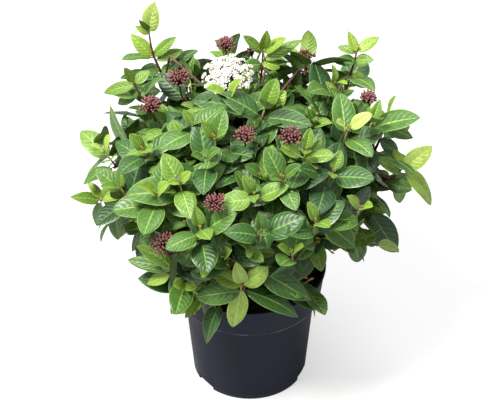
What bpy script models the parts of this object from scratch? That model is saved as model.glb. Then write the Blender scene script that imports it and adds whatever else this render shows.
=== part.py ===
"""Potted laurustinus shrub, flowering, in a thin-walled plastic nursery pot.

Metres, +Z up. The pot's flat underside is centred on the origin and the shrub's
front faces -Y. A short stem stands on the root ball and forks into boughs, which
end in the leaf clumps of the crown. Young shoots stand out past the clumps.
"""

import math

import bmesh
import bpy
from mathutils import Matrix, Vector, noise

# Pot
POT_HEIGHT = 0.164
RIM_RADIUS = 0.095
RIM_BEAD = 0.0012
RIM_BEAD_HEIGHT = 0.0035
COLLAR_HEIGHT = 0.0404
COLLAR_FOOT_RADIUS = 0.0892
BODY_TOP_RADIUS = 0.0820
BODY_FOOT_RADIUS = 0.0727
FOOT_ROUNDING = 0.0020
ROUNDING_SHARE = 0.3
WALL = 0.0018
FLOOR = 0.0030
FLOOR_GUSSET = 0.0110
POT_SEGMENTS = 48
POT_CREASE = 35

# Drainage: notches in the foot's edge and holes in the floor
NOTCH_COUNT = 3
NOTCH_FIRST_AZIMUTH = -141.0
NOTCH_WIDTH = 0.028
NOTCH_HEIGHT = 0.0075
NOTCH_DEPTH = 0.0040
HOLE_COUNT = 6
HOLE_RADIUS = 0.0045
HOLE_RING_RADIUS = 0.045
HOLE_TURN = 30.0
HOLE_SIDES = 10

# Root ball
SOIL_DEPTH_BELOW_RIM = 0.0250
SOIL_BUMP = 0.0020
SOIL_GRAIN = 40.0
SOIL_RING_SHARES = (0.80, 0.55, 0.25)
SOIL_SEGMENTS = 24
SOIL_CREASE = 50

# Stem and boughs
STEM_RADIUS = 0.0072
STEM_FLARE = 0.0080
STEM_HEIGHT = 0.0420
STEM_LEAN_X = -0.0040
STEM_LEAN_Y = 0.0030
STEM_TOP_SHARE = 0.82
STEM_SIDES = 12
STEM_RINGS = 7
STEM_RIDGES = 0.05
FORK_SWELL = 0.12
FORK_SWELL_SHARE = 0.82
FORK_SWELL_SPAN = 0.14
LIMB_CREASE = 60
BOUGH_FOOT_RADIUS = 0.0031
BOUGH_TIP_RADIUS = 0.0019
BOUGH_SIDES = 8
BOUGH_RINGS = 7
BOUGH_POCKET = 0.010
BOUGH_SPREAD = 0.50
BOUGH_RISE = 0.36

# Where on the stem the boughs start: a share of its height by tier, and for the
# upper ones a fork of three round the stem's top.
FORK_LEVELS = (("low_clump", 0.42), ("middle_clump", 0.70))
TOP_FORK_LEVEL = 0.97
TOP_FORK_OFFSET = 0.0040
TOP_FORK_TURN = 120.0

# Crown
GAP = 0.0003
CLUMP_UNEVENNESS = 0.20
CLUMP_GRAIN = 1.9
SHOOT_UNEVENNESS = 0.12
SEED_STEP = 7.3
SHOOT_FIRST_SEED = 50
LEAF_CREASE = 40
NEIGHBOUR_MARGIN = 0.02
LEAST_SHARE = 0.4
LEAST_CORE_SHARE = 0.3
CORE_HEIGHT = 0.255
CORE_RADIUS = 0.055
POCKET_MARGIN = 1.3 * GAP

# Tiers of leaf clumps: name, count, azimuth of the first in degrees, radius of
# the ring, height, the clumps' half width and half height.
TIERS = (
    ("low_clump", 6, -130.0, 0.104, 0.248, 0.064, 0.050),
    ("middle_clump", 7, -105.0, 0.114, 0.308, 0.064, 0.056),
    ("upper_clump", 5, -75.0, 0.083, 0.366, 0.062, 0.052),
    ("top_clump", 1, 80.0, 0.012, 0.389, 0.054, 0.040),
)

# The low tier hangs towards the front left. At the front right it is lifted and
# drawn in, where the root ball shows past it.
DROOP = 0.016
DROOP_AZIMUTH = -140.0
LIFT = 0.022
LIFT_DRAW_IN = 0.012
LIFT_AZIMUTH = -64.0
LIFT_WIDTH = 32.0

# Shoots that stand out of the clumps: name, then azimuth in degrees, radius and
# height of the foot, the same of the tip, half width, half thickness and taper.
SHOOTS = (
    ("tall_shoot", (153, 0.120, 0.390), (146, 0.133, 0.499), 0.034, 0.026, 0.35),
    ("left_upper_shoot", (166, 0.112, 0.385), (171, 0.160, 0.432), 0.034, 0.026, 0.1),
    ("top_shoot", (75, 0.034, 0.395), (60, 0.066, 0.470), 0.040, 0.032, 0.2),
    ("top_right_shoot", (47, 0.090, 0.392), (49, 0.108, 0.438), 0.027, 0.025, 0.1),
    ("upper_right_shoot", (23, 0.104, 0.370), (26, 0.155, 0.462), 0.031, 0.027, -0.1),
    ("right_upper_shoot", (-3, 0.140, 0.340), (4, 0.175, 0.406), 0.036, 0.030, 0.2),
    ("right_shoot", (-12, 0.140, 0.290), (-6, 0.217, 0.336), 0.048, 0.030, 0.1),
    ("left_middle_shoot", (174, 0.130, 0.345), (-178, 0.190, 0.344), 0.040, 0.032, 0.2),
    ("left_shoot", (-161, 0.140, 0.284), (-169, 0.217, 0.297), 0.038, 0.030, 0.3),
    ("low_left_shoot", (-134, 0.120, 0.240), (-142, 0.172, 0.226), 0.042, 0.026, 0.1),
    ("low_front_shoot", (-92, 0.092, 0.222), (-96, 0.136, 0.176), 0.050, 0.024, 0.2),
    ("low_right_front_shoot", (-62, 0.072, 0.256), (-48, 0.114, 0.174), 0.027, 0.023, 0.2),
    ("low_right_shoot", (-16, 0.132, 0.252), (-14, 0.178, 0.220), 0.036, 0.026, 0.1),
    ("back_shoot", (98, 0.120, 0.325), (101, 0.180, 0.380), 0.036, 0.030, 0.2),
    ("back_left_shoot", (132, 0.130, 0.262), (130, 0.196, 0.266), 0.040, 0.030, 0.2),
    ("back_right_shoot", (58, 0.126, 0.290), (52, 0.200, 0.326), 0.038, 0.030, 0.2),
)

# Clumps that a bough runs to.
BOUGH_TARGETS = (
    "low_clump_1",
    "low_clump_3",
    "low_clump_5",
    "middle_clump_2",
    "middle_clump_4",
    "middle_clump_6",
    "upper_clump_2",
    "top_clump_1",
    "upper_clump_5",
)

CLUMP_SEGMENTS = 12
CLUMP_RINGS = 9
SHOOT_SEGMENTS = 8
SHOOT_RINGS = 7


def clear_scene():
    """Removes whatever the opened scene holds."""
    for thing in list(bpy.data.objects):
        bpy.data.objects.remove(thing, do_unlink=True)


def make_material(name, colour, roughness, metallic=0.0):
    """A Principled material with one plain colour."""
    material = bpy.data.materials.new(name)
    material.use_nodes = True
    shader = material.node_tree.nodes["Principled BSDF"]
    shader.inputs["Base Color"].default_value = (*colour, 1.0)
    shader.inputs["Roughness"].default_value = roughness
    shader.inputs["Metallic"].default_value = metallic
    return material


def add_object(name, mesh_builder, material, smooth_angle=None):
    """Links an object made from a filled bmesh, closed and facing outward."""
    bmesh.ops.recalc_face_normals(mesh_builder, faces=mesh_builder.faces)
    if mesh_builder.calc_volume(signed=True) < 0:
        bmesh.ops.reverse_faces(mesh_builder, faces=mesh_builder.faces)
    mesh = bpy.data.meshes.new(name)
    mesh_builder.to_mesh(mesh)
    mesh_builder.free()
    if smooth_angle is not None:
        mesh.shade_smooth()
        mesh.set_sharp_from_angle(angle=math.radians(smooth_angle))
    if material is not None:
        mesh.materials.append(material)
    thing = bpy.data.objects.new(name, mesh)
    bpy.context.scene.collection.objects.link(thing)
    return thing


def as_cutter(thing):
    """Marks an object as a guide that only cuts."""
    thing.hide_render = True
    thing.display_type = "WIRE"
    return thing


def cut(thing, cutter):
    """Takes the cutter's shape out of the object."""
    modifier = thing.modifiers.new("cut_" + cutter.name, "BOOLEAN")
    modifier.operation = "DIFFERENCE"
    modifier.solver = "EXACT"
    modifier.object = cutter


def polar(azimuth, radius, height):
    """A point from its azimuth in degrees, its distance from the axis and height."""
    angle = math.radians(azimuth)
    return Vector((radius * math.cos(angle), radius * math.sin(angle), height))


def ring(builder, centre, axis_u, axis_v, radii):
    """One closed ring of vertices, with a radius for each."""
    count = len(radii)
    made = []
    for index, radius in enumerate(radii):
        angle = 2 * math.pi * index / count
        point = centre + (axis_u * math.cos(angle) + axis_v * math.sin(angle)) * radius
        made.append(builder.verts.new(point))
    return made


def bridge(builder, lower, upper):
    """Quads between two rings of the same count."""
    count = len(lower)
    for index in range(count):
        after = (index + 1) % count
        builder.faces.new((lower[index], lower[after], upper[after], upper[index]))


def turned(name, profile, segments, material, smooth_angle):
    """A solid turned about +Z from (radius, height) pairs that start and end on the axis."""
    builder = bmesh.new()
    rings = []
    for radius, height in profile[1:-1]:
        centre = Vector((0, 0, height))
        rings.append(ring(builder, centre, Vector((1, 0, 0)), Vector((0, 1, 0)), [radius] * segments))
    for lower, upper in zip(rings, rings[1:]):
        bridge(builder, lower, upper)
    for end, rim in ((profile[0], rings[0]), (profile[-1], rings[-1])):
        middle = builder.verts.new((0, 0, end[1]))
        for index in range(segments):
            builder.faces.new((middle, rim[index], rim[(index + 1) % segments]))
    return add_object(name, builder, material, smooth_angle)


def pot_profile():
    """The pot's closed section: up the outside from the foot, over the rim, down the inside."""
    collar_foot = POT_HEIGHT - COLLAR_HEIGHT
    bead_foot = POT_HEIGHT - RIM_BEAD_HEIGHT
    upper_radius = RIM_RADIUS - RIM_BEAD
    shoulder = collar_foot + WALL
    gusset_radius = BODY_FOOT_RADIUS - WALL - FLOOR_GUSSET
    corner = ROUNDING_SHARE * FOOT_ROUNDING
    return (
        (0.0, 0.0),
        (BODY_FOOT_RADIUS - FOOT_ROUNDING, 0.0),
        (BODY_FOOT_RADIUS - corner, corner),
        (BODY_FOOT_RADIUS, FOOT_ROUNDING),
        (BODY_TOP_RADIUS, collar_foot),
        (COLLAR_FOOT_RADIUS - corner, collar_foot),
        (COLLAR_FOOT_RADIUS, collar_foot + corner),
        (upper_radius, bead_foot),
        (RIM_RADIUS, bead_foot + RIM_BEAD),
        (RIM_RADIUS, POT_HEIGHT - RIM_BEAD),
        (RIM_RADIUS - RIM_BEAD, POT_HEIGHT),
        (RIM_RADIUS - RIM_BEAD - WALL, POT_HEIGHT),
        (upper_radius - WALL, bead_foot),
        (COLLAR_FOOT_RADIUS - WALL, shoulder),
        (BODY_TOP_RADIUS - WALL, shoulder),
        (BODY_FOOT_RADIUS - WALL, FLOOR + FLOOR_GUSSET),
        (gusset_radius, FLOOR),
        (0.0, FLOOR),
    )


def wall_inner_radius(height):
    """The inner radius of the pot's body below the collar, above the gusset."""
    foot = FLOOR + FLOOR_GUSSET
    top = POT_HEIGHT - COLLAR_HEIGHT + WALL
    share = (height - foot) / (top - foot)
    return BODY_FOOT_RADIUS - WALL + (BODY_TOP_RADIUS - BODY_FOOT_RADIUS) * share


def make_pot(material):
    """The pot with its collar, rim bead, foot notches and floor holes."""
    pot = turned("nursery_pot", pot_profile(), POT_SEGMENTS, material, POT_CREASE)
    for number in range(NOTCH_COUNT):
        azimuth = math.radians(NOTCH_FIRST_AZIMUTH + 360 * number / NOTCH_COUNT)
        builder = bmesh.new()
        bmesh.ops.create_cube(builder, size=1.0)
        length = 2 * NOTCH_DEPTH + FOOT_ROUNDING
        size = Matrix.Diagonal((length, NOTCH_WIDTH, 2 * NOTCH_HEIGHT, 1.0))
        middle = BODY_FOOT_RADIUS - NOTCH_DEPTH + length / 2
        place = Matrix.Rotation(azimuth, 4, "Z") @ Matrix.Translation((middle, 0, 0))
        builder.transform(place @ size)
        cut(pot, as_cutter(add_object(f"notch_cutter_{number + 1}", builder, None)))
    for number in range(HOLE_COUNT):
        azimuth = NOTCH_FIRST_AZIMUTH + HOLE_TURN + 360 * number / HOLE_COUNT
        builder = bmesh.new()
        bmesh.ops.create_cone(
            builder,
            cap_ends=True,
            segments=HOLE_SIDES,
            radius1=HOLE_RADIUS,
            radius2=HOLE_RADIUS,
            depth=4 * FLOOR,
        )
        builder.transform(Matrix.Translation(polar(azimuth, HOLE_RING_RADIUS, 0)))
        cut(pot, as_cutter(add_object(f"hole_cutter_{number + 1}", builder, None)))


def make_root_ball(material):
    """The peat that fills the pot, with an uneven top and a flat seat for the stem."""
    ground = POT_HEIGHT - SOIL_DEPTH_BELOW_RIM
    shoulder = POT_HEIGHT - COLLAR_HEIGHT + WALL
    foot_height = FLOOR + FLOOR_GUSSET
    shoulder_radius = wall_inner_radius(shoulder) - GAP
    top_radius = COLLAR_FOOT_RADIUS - WALL - 2 * GAP
    profile = [
        (0.0, FLOOR + GAP),
        (BODY_FOOT_RADIUS - WALL - FLOOR_GUSSET - GAP, FLOOR + GAP),
        (wall_inner_radius(foot_height) - 2 * GAP, foot_height + GAP),
        (shoulder_radius, shoulder + GAP),
        (top_radius, shoulder + GAP),
        (top_radius, ground - SOIL_BUMP),
    ]
    profile += [(share * top_radius, ground) for share in SOIL_RING_SHARES]
    profile.append((0.0, ground))
    ball = turned("root_ball", profile, SOIL_SEGMENTS, material, SOIL_CREASE)
    seat = (SOIL_RING_SHARES[-1] + SOIL_RING_SHARES[-2]) / 2 * top_radius
    for vertex in ball.data.vertices:
        if vertex.co.z > ground - SOIL_BUMP / 2 and vertex.co.xy.length > seat:
            vertex.co.z += SOIL_BUMP * noise.noise(vertex.co * SOIL_GRAIN)


def loft(name, centres, radii, sides, material, ridges=0.0):
    """A closed limb along its centres, round in section or with ridges that fade upwards."""
    builder = bmesh.new()
    rings = []
    side_axis = None
    for index, (centre, radius) in enumerate(zip(centres, radii)):
        before = centres[max(index - 1, 0)]
        after = centres[min(index + 1, len(centres) - 1)]
        along = (after - before).normalized()
        if side_axis is None:
            side_axis = along.orthogonal()
        side_axis = (side_axis - along * side_axis.dot(along)).normalized()
        other_axis = along.cross(side_axis)
        height = ridges * (1.0 - index / (len(centres) - 1))
        spread = [radius * (1 + height * (side % 3 - 1)) for side in range(sides)]
        rings.append(ring(builder, centre, side_axis, other_axis, spread))
    for lower, upper in zip(rings, rings[1:]):
        bridge(builder, lower, upper)
    builder.faces.new(rings[0])
    builder.faces.new(rings[-1])
    return add_object(name, builder, material, LIMB_CREASE)


def stem_centre(share):
    """The stem's axis at a share of its height above the ground."""
    ground = POT_HEIGHT - SOIL_DEPTH_BELOW_RIM + GAP
    return Vector((STEM_LEAN_X * share, STEM_LEAN_Y * share, ground + STEM_HEIGHT * share))


def stem_radius(share):
    """The stem's radius: a flare at the foot, a taper and a swollen fork."""
    flare = STEM_FLARE * (1 - share) ** 4
    taper = STEM_RADIUS * (1 - (1 - STEM_TOP_SHARE) * share)
    fork = math.exp(-((share - FORK_SWELL_SHARE) / FORK_SWELL_SPAN) ** 2)
    return flare + taper + FORK_SWELL * STEM_RADIUS * fork


def make_stem(name, grow, material):
    """The short stem, grown outwards by a margin where it serves as a cutter."""
    shares = [index / (STEM_RINGS - 1) for index in range(STEM_RINGS)]
    centres = [stem_centre(share) for share in shares]
    radii = [stem_radius(share) + grow for share in shares]
    if grow > 0:
        centres[-1] = centres[-1] + Vector((0, 0, grow))
    stem = loft(name, centres, radii, STEM_SIDES, material, STEM_RIDGES)
    for vertex in stem.data.vertices[:STEM_SIDES]:
        vertex.co.z = centres[0].z
    for vertex in stem.data.vertices[-STEM_SIDES:]:
        vertex.co.z = centres[-1].z
    return stem


class Mass:
    """One closed mass of leaves, star-shaped about its centre."""

    def __init__(self, name, centre, axis, halves, taper, unevenness, seed):
        self.name = name
        self.centre = centre
        self.taper = taper
        self.unevenness = unevenness
        self.seed = seed
        along = axis.normalized()
        across = Vector((0, 0, 1)).cross(along)
        if across.length < 0.1:
            across = Vector((1, 0, 0)).cross(along)
        across.normalize()
        self.frame = (along, across, along.cross(across))
        self.halves = halves
        self.weight = (halves[0] * halves[1] * halves[2]) ** (1 / 3)
        self.planes = []

    def free_reach(self, direction):
        """How far the mass reaches in a direction before its neighbours cut it."""
        share = [direction.dot(axis) / half for axis, half in zip(self.frame, self.halves)]
        narrowing = 1 - self.taper * direction.dot(self.frame[0])
        return 1.0 / math.sqrt(share[0] ** 2 + (share[1] ** 2 + share[2] ** 2) / narrowing ** 2)

    def reach(self, direction):
        """The reach with lumps, cut by the planes between this mass and its neighbours."""
        place = direction * CLUMP_GRAIN + Vector((self.seed * SEED_STEP, 0, 0))
        lump = noise.noise(place) + 0.5 * noise.noise(place * 2.3)
        span = self.free_reach(direction) * (1 + self.unevenness * lump)
        for normal, distance in self.planes:
            facing = direction.dot(normal)
            if facing > 1e-6:
                span = min(span, distance / facing)
        return span


def tier_masses():
    """The clumps of every tier, in rings round the crown's axis."""
    masses = []
    for tier, sizes in enumerate(TIERS):
        name, count, first, radius, height, half_width, half_height = sizes
        for number in range(count):
            azimuth = first + 360.0 * number / count
            lift = 0.0
            draw_in = 0.0
            if tier == 0:
                window = math.exp(-((azimuth - LIFT_AZIMUTH) / LIFT_WIDTH) ** 2)
                lift = LIFT * window - DROOP * math.cos(math.radians(azimuth - DROOP_AZIMUTH))
                draw_in = LIFT_DRAW_IN * window
            centre = polar(azimuth, radius - draw_in, height + lift)
            outward = polar(azimuth, 1.0, 0.0)
            halves = (half_width, half_width, half_height)
            seed = 10 * tier + number
            label = f"{name}_{number + 1}"
            masses.append(Mass(label, centre, outward, halves, 0.0, CLUMP_UNEVENNESS, seed))
    return masses


def shoot_masses():
    """The slender masses round the shoots that stand out of the crown."""
    masses = []
    for number, (name, foot, tip, half_width, half_thick, taper) in enumerate(SHOOTS):
        start = polar(*foot)
        axis = polar(*tip) - start
        centre = start + axis * 0.5
        halves = (axis.length / 2, half_width, half_thick)
        seed = SHOOT_FIRST_SEED + number
        masses.append(Mass(name, centre, axis, halves, taper, SHOOT_UNEVENNESS, seed))
    return masses


def share_space(masses):
    """Puts a plane between each two masses that come near, and round the crown's open core."""
    for mass in masses:
        for other in masses:
            if other is mass:
                continue
            line = other.centre - mass.centre
            length = line.length
            if length > max(mass.halves) + max(other.halves) + NEIGHBOUR_MARGIN:
                continue
            distance = (length ** 2 + mass.weight ** 2 - other.weight ** 2) / (2 * length)
            distance = max(distance, LEAST_SHARE * mass.weight)
            distance = min(distance, length - LEAST_SHARE * other.weight)
            mass.planes.append((line / length, distance - GAP / 2))
        core = Vector((0, 0, CORE_HEIGHT))
        line = core - mass.centre
        if not mass.name.startswith("top_"):
            distance = max(line.length - CORE_RADIUS, LEAST_CORE_SHARE * mass.weight)
            mass.planes.append((line.normalized(), distance))
        azimuth = math.degrees(math.atan2(mass.centre.y, mass.centre.x))
        away = polar(azimuth, -1.0, -1.0).normalized()
        rim = polar(azimuth, RIM_RADIUS, POT_HEIGHT)
        mass.planes.append((away, (rim - mass.centre).dot(away) - GAP))


def make_mass(mass, segments, rings, material):
    """A mass's solid, from a sphere with poles on its axis whose vertices take its reach."""
    builder = bmesh.new()
    bmesh.ops.create_uvsphere(builder, u_segments=segments, v_segments=rings, radius=1.0)
    along, across, over = mass.frame
    for vertex in builder.verts:
        unit = vertex.co.normalized()
        offset = along * (unit.z * mass.halves[0])
        offset += across * (unit.x * mass.halves[1]) + over * (unit.y * mass.halves[2])
        direction = offset.normalized()
        vertex.co = mass.centre + direction * mass.reach(direction)
    return add_object(mass.name, builder, material, LEAF_CREASE)


def fork_point(target, number):
    """Where a bough starts: on the stem's axis, or as one of the fork of three on top."""
    for prefix, share in FORK_LEVELS:
        if target.startswith(prefix):
            return stem_centre(share)
    return stem_centre(TOP_FORK_LEVEL) + polar(TOP_FORK_TURN * number, TOP_FORK_OFFSET, 0.0)


def bough_line(number, mass):
    """The bough's centres, from inside the stem to its pocket in the clump."""
    fork = fork_point(mass.name, number)
    back = (stem_centre(1.0) - mass.centre).normalized()
    reach = mass.reach(back)
    end = mass.centre + back * max(reach - BOUGH_POCKET, 0.0)
    run = end - fork
    bend = fork + Vector((run.x * BOUGH_SPREAD, run.y * BOUGH_SPREAD, run.z * BOUGH_RISE))
    centres = []
    for index in range(BOUGH_RINGS):
        along = index / (BOUGH_RINGS - 1)
        centres.append(fork * (1 - along) ** 2 + bend * 2 * along * (1 - along) + end * along ** 2)
    return centres


def make_boughs(masses, clumps, material):
    """Boughs from the stem to their clumps, each in a pocket of its clump."""
    by_name = {mass.name: mass for mass in masses}
    stem_cutter = as_cutter(make_stem("stem_cutter", GAP, None))
    for number, target in enumerate(BOUGH_TARGETS):
        centres = bough_line(number, by_name[target])
        radii = []
        for index in range(BOUGH_RINGS):
            along = index / (BOUGH_RINGS - 1)
            radii.append(BOUGH_FOOT_RADIUS + (BOUGH_TIP_RADIUS - BOUGH_FOOT_RADIUS) * along)
        bough = loft(f"bough_{number + 1}", centres, radii, BOUGH_SIDES, material)
        cut(bough, stem_cutter)
        longer = centres[:-1] + [centres[-1] + (centres[-1] - centres[-2]).normalized() * GAP]
        wider = [radius + POCKET_MARGIN for radius in radii]
        cutter = as_cutter(loft(f"bough_cutter_{number + 1}", longer, wider, BOUGH_SIDES, None))
        for clump in clumps:
            if boxes_meet(clump, cutter):
                cut(clump, cutter)


def boxes_meet(first, second):
    """Whether two objects' bounding boxes overlap."""
    low_a, high_a = extent(first)
    low_b, high_b = extent(second)
    return all(low_a[i] < high_b[i] and low_b[i] < high_a[i] for i in range(3))


def extent(thing):
    """The lowest and highest corners of an object's own mesh."""
    points = [vertex.co for vertex in thing.data.vertices]
    low = [min(point[i] for point in points) for i in range(3)]
    high = [max(point[i] for point in points) for i in range(3)]
    return low, high


def main():
    """Builds the pot, root ball, stem, crown and boughs."""
    clear_scene()
    plastic = make_material("pot_plastic", (0.030, 0.036, 0.052), 0.45)
    peat = make_material("peat", (0.035, 0.020, 0.012), 0.95)
    bark = make_material("bark", (0.110, 0.055, 0.045), 0.75)
    mature = make_material("mature_leaves", (0.045, 0.150, 0.030), 0.40)
    young = make_material("young_leaves", (0.250, 0.520, 0.060), 0.40)

    make_pot(plastic)
    make_root_ball(peat)
    make_stem("main_stem", 0.0, bark)
    clump_masses = tier_masses()
    sprouts = shoot_masses()
    share_space(clump_masses + sprouts)
    clumps = [make_mass(mass, CLUMP_SEGMENTS, CLUMP_RINGS, mature) for mass in clump_masses]
    for mass in sprouts:
        make_mass(mass, SHOOT_SEGMENTS, SHOOT_RINGS, young)
    make_boughs(clump_masses, clumps, bark)


main()
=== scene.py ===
"""Looks of the potted laurustinus: leaves, flower heads, bark, peat and pot plastic.

Metres, +Z up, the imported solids' own frame. The pot stands on z = 0 with its axis on
the origin, and the side that the photograph shows faces -Y.
"""

import math
from functools import cache, partial

import bmesh
import bpy
import numpy as np
from mathutils import Matrix, Vector, noise
from mathutils.bvhtree import BVHTree


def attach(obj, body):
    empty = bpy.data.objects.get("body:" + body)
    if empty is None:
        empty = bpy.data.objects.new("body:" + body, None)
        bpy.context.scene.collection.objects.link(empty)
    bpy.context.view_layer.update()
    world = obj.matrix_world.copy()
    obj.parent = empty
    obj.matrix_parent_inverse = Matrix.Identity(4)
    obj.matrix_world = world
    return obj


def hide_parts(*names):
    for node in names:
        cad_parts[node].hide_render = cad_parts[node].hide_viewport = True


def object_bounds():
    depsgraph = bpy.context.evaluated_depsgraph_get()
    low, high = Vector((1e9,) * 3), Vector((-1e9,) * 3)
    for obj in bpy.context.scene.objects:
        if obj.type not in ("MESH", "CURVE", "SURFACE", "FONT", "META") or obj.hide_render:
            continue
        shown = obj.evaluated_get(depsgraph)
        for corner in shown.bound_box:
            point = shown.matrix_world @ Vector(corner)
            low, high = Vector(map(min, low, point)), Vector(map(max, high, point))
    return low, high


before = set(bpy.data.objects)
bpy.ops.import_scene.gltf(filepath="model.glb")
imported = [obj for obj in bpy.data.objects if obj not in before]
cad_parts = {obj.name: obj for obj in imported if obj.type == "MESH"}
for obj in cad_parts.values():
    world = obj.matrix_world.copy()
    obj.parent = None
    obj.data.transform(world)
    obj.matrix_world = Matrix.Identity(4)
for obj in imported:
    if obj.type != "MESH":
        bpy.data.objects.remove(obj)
cad_low, cad_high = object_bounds()

# Camera
AIM = np.array((0.0004, 0.0, 0.2635))
CAMERA_DISTANCE = 1.8
CAMERA_PITCH = 37.2
LENS = 107.5
SENSOR = 36.0
PHOTO_WIDTH = 500
PHOTO_HEIGHT = 400
FOCAL_PIXELS = LENS / SENSOR * PHOTO_WIDTH

# Pot and peat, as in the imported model
POT_HEIGHT = 0.164
RIM_RADIUS = 0.095
RIM_BEAD = 0.0012
RIM_BEAD_HEIGHT = 0.0035
COLLAR_HEIGHT = 0.0404
COLLAR_FOOT_RADIUS = 0.0892
BODY_TOP_RADIUS = 0.0820
BODY_FOOT_RADIUS = 0.0727
FOOT_ROUNDING = 0.0020
WALL = 0.0018
FLOOR = 0.0030
FLOOR_GUSSET = 0.0110
NOTCH_COUNT = 3
NOTCH_FIRST_AZIMUTH = -141.0
NOTCH_WIDTH = 0.028
NOTCH_HEIGHT = 0.0075
NOTCH_DEPTH = 0.0040
HOLE_COUNT = 6
HOLE_RADIUS = 0.0045
HOLE_RING_RADIUS = 0.045
HOLE_TURN = 30.0
POT_SEGMENTS = 144
GROUND = 0.1390
GAP = 0.0003
HOLE_SEGMENTS = 24
OUT_OF_ROUND = 0.0005
SHARP_DEGREES = 38
PEAT_SEGMENTS = 120
PEAT_RINGS = 34
CRUMB_COUNT = 520

# Stem and boughs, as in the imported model
STEM_RADIUS = 0.0072
STEM_FLARE = 0.0080
STEM_HEIGHT = 0.0420
STEM_LEAN = np.array((-0.0040, 0.0030, STEM_HEIGHT))
STEM_TOP_SHARE = 0.82
BOUGH_FOOT_RADIUS = 0.0031
BOUGH_TIP_RADIUS = 0.0019
BOUGH_SPREAD = 0.50
BOUGH_RISE = 0.36
TOP_FORK_OFFSET = 0.0040
BOUGH_FORKS = (0.42, 0.42, 0.42, 0.70, 0.70, 0.70, 0.97, 0.97, 0.97)
BOUGH_POINTS = 12
STEM_RINGS, STEM_SIDES, STEM_RELIEF = 26, 28, 0.13
BOUGH_RINGS, BOUGH_SIDES, BOUGH_RELIEF = 30, 12, 0.12

# Crown
CROWN_CENTRE = np.array((0.0, 0.0, 0.309))
CROWN_RADII = np.array((0.183, 0.180, 0.131))
CORE = np.array((0.0, 0.0, 0.255))
SEED = 4127
UP = np.array((0.0, 0.0, 1.0))
TIP_SPACING = 0.0255
COVER_REACH = 0.022
BOUGH_CHOICE = 0.015

LEAF_TINTS = (
    ("leaf_deep", (30, 58, 32), (92, 130, 72), (70, 110, 55)),
    ("leaf_dark", (38, 74, 38), (108, 150, 76), (96, 140, 66)),
    ("leaf_mature", (52, 94, 42), (130, 172, 84), (128, 170, 78)),
    ("leaf_full", (76, 122, 48), (158, 192, 94), (156, 190, 90)),
    ("leaf_fresh", (110, 152, 54), (178, 208, 102), (178, 208, 100)),
    ("leaf_lime", (146, 184, 62), (198, 222, 114), (194, 218, 108)),
    ("leaf_pale", (182, 210, 98), (214, 232, 146), (206, 228, 134)),
)
DEEP, DARK, MATURE, FULL, FRESH, LIME, PALE = range(len(LEAF_TINTS))
LEAF_BACK = (150, 175, 110)
BAKE_MAP = "OFBake"
ATLAS_COLUMNS = 4
ATLAS_ROWS = 2
STRAND_COLUMNS = 4
CELL_MARGIN = 0.04

# The places of the stalks' and the flower heads' materials in their columns of the map
RED_TWIG, GREEN_STALK, OLD_TWIG = range(3)
PETAL, PLUM, ANTHER, BLUSH = range(4)

# A blade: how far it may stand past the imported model's box, and the spread of its form
PROUD = 0.010
LEAF_RATIO = (0.51, 0.61)
FOLD_SHARE = (0.75, 1.25)
RECURVE = (0.10, 0.28)
ARCH_SPREAD = 0.25
WAVE = (0.02, 0.07)
TWIST = 0.25
BASE_ROUNDNESS = (0.50, 0.62)
TIP_ROUNDNESS = (0.68, 0.90)
PETIOLE_RADIUS = 0.0009

# Leaf pairs of a shoot on the crown's surface: how far below its tip, their length, how far
# they open and, for the older ones, the tints that they take by chance.
YOUNG_BELOW = 0.002
YOUNG_LENGTH = (0.024, 0.034)
YOUNG_OPENING = (0.45, 0.75)
OLDER_PAIRS = (
    ((0.010, 0.016), (0.040, 0.052), (1.0, 1.25), (FULL, FULL, FRESH, MATURE, MATURE)),
    ((0.026, 0.036), (0.050, 0.062), (1.2, 1.5), (MATURE, MATURE, DARK, DARK, FULL)),
)

# Leaf pairs of an open shoot from its tip down: the point of its stem, their length, how far
# they open, the chance of the first tint, and the two tints.
STEM_POINTS = 9
OPEN_SHOOT_PAIRS = (
    (8, (0.030, 0.038), 0.35, 0.5, PALE, LIME),
    (7, (0.042, 0.050), 0.95, 0.6, LIME, FRESH),
    (5, (0.050, 0.058), 1.10, 0.6, FRESH, FULL),
    (3, (0.052, 0.060), 1.20, 0.5, FULL, MATURE),
    (1, (0.052, 0.060), 1.25, 0.3, FULL, MATURE),
)

# A flower head: its stalk and neck, buds in a small and a full one, florets added as it
# opens, the turn from one stalk to the next, and each lobe's outline by reach and degrees.
HEAD_STALK = 0.030
HEAD_NECK = 0.010
SMALL_HEAD = 0.014
SMALL_COUNT, FULL_COUNT, OPEN_COUNT = 12, 52, 66
GOLDEN_TURN = 2.39996
FLOWERS_OPEN = 0.88
LOBES = 5
LOBE_OUTLINE = (
    (0.10, 0.0), (0.50, -25.0), (0.86, -27.0), (1.0, -10.0), (1.0, 10.0), (0.86, 27.0), (0.50, 25.0),
)

# Bud clusters on the back of the crown: how many, how likely, how wide and how far back
BACK_CLUSTERS = 9
BACK_CLUSTER_CHANCE = 0.14
BACK_CLUSTER_WIDTH = 0.024
BACK_TURNED = 0.35

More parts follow.
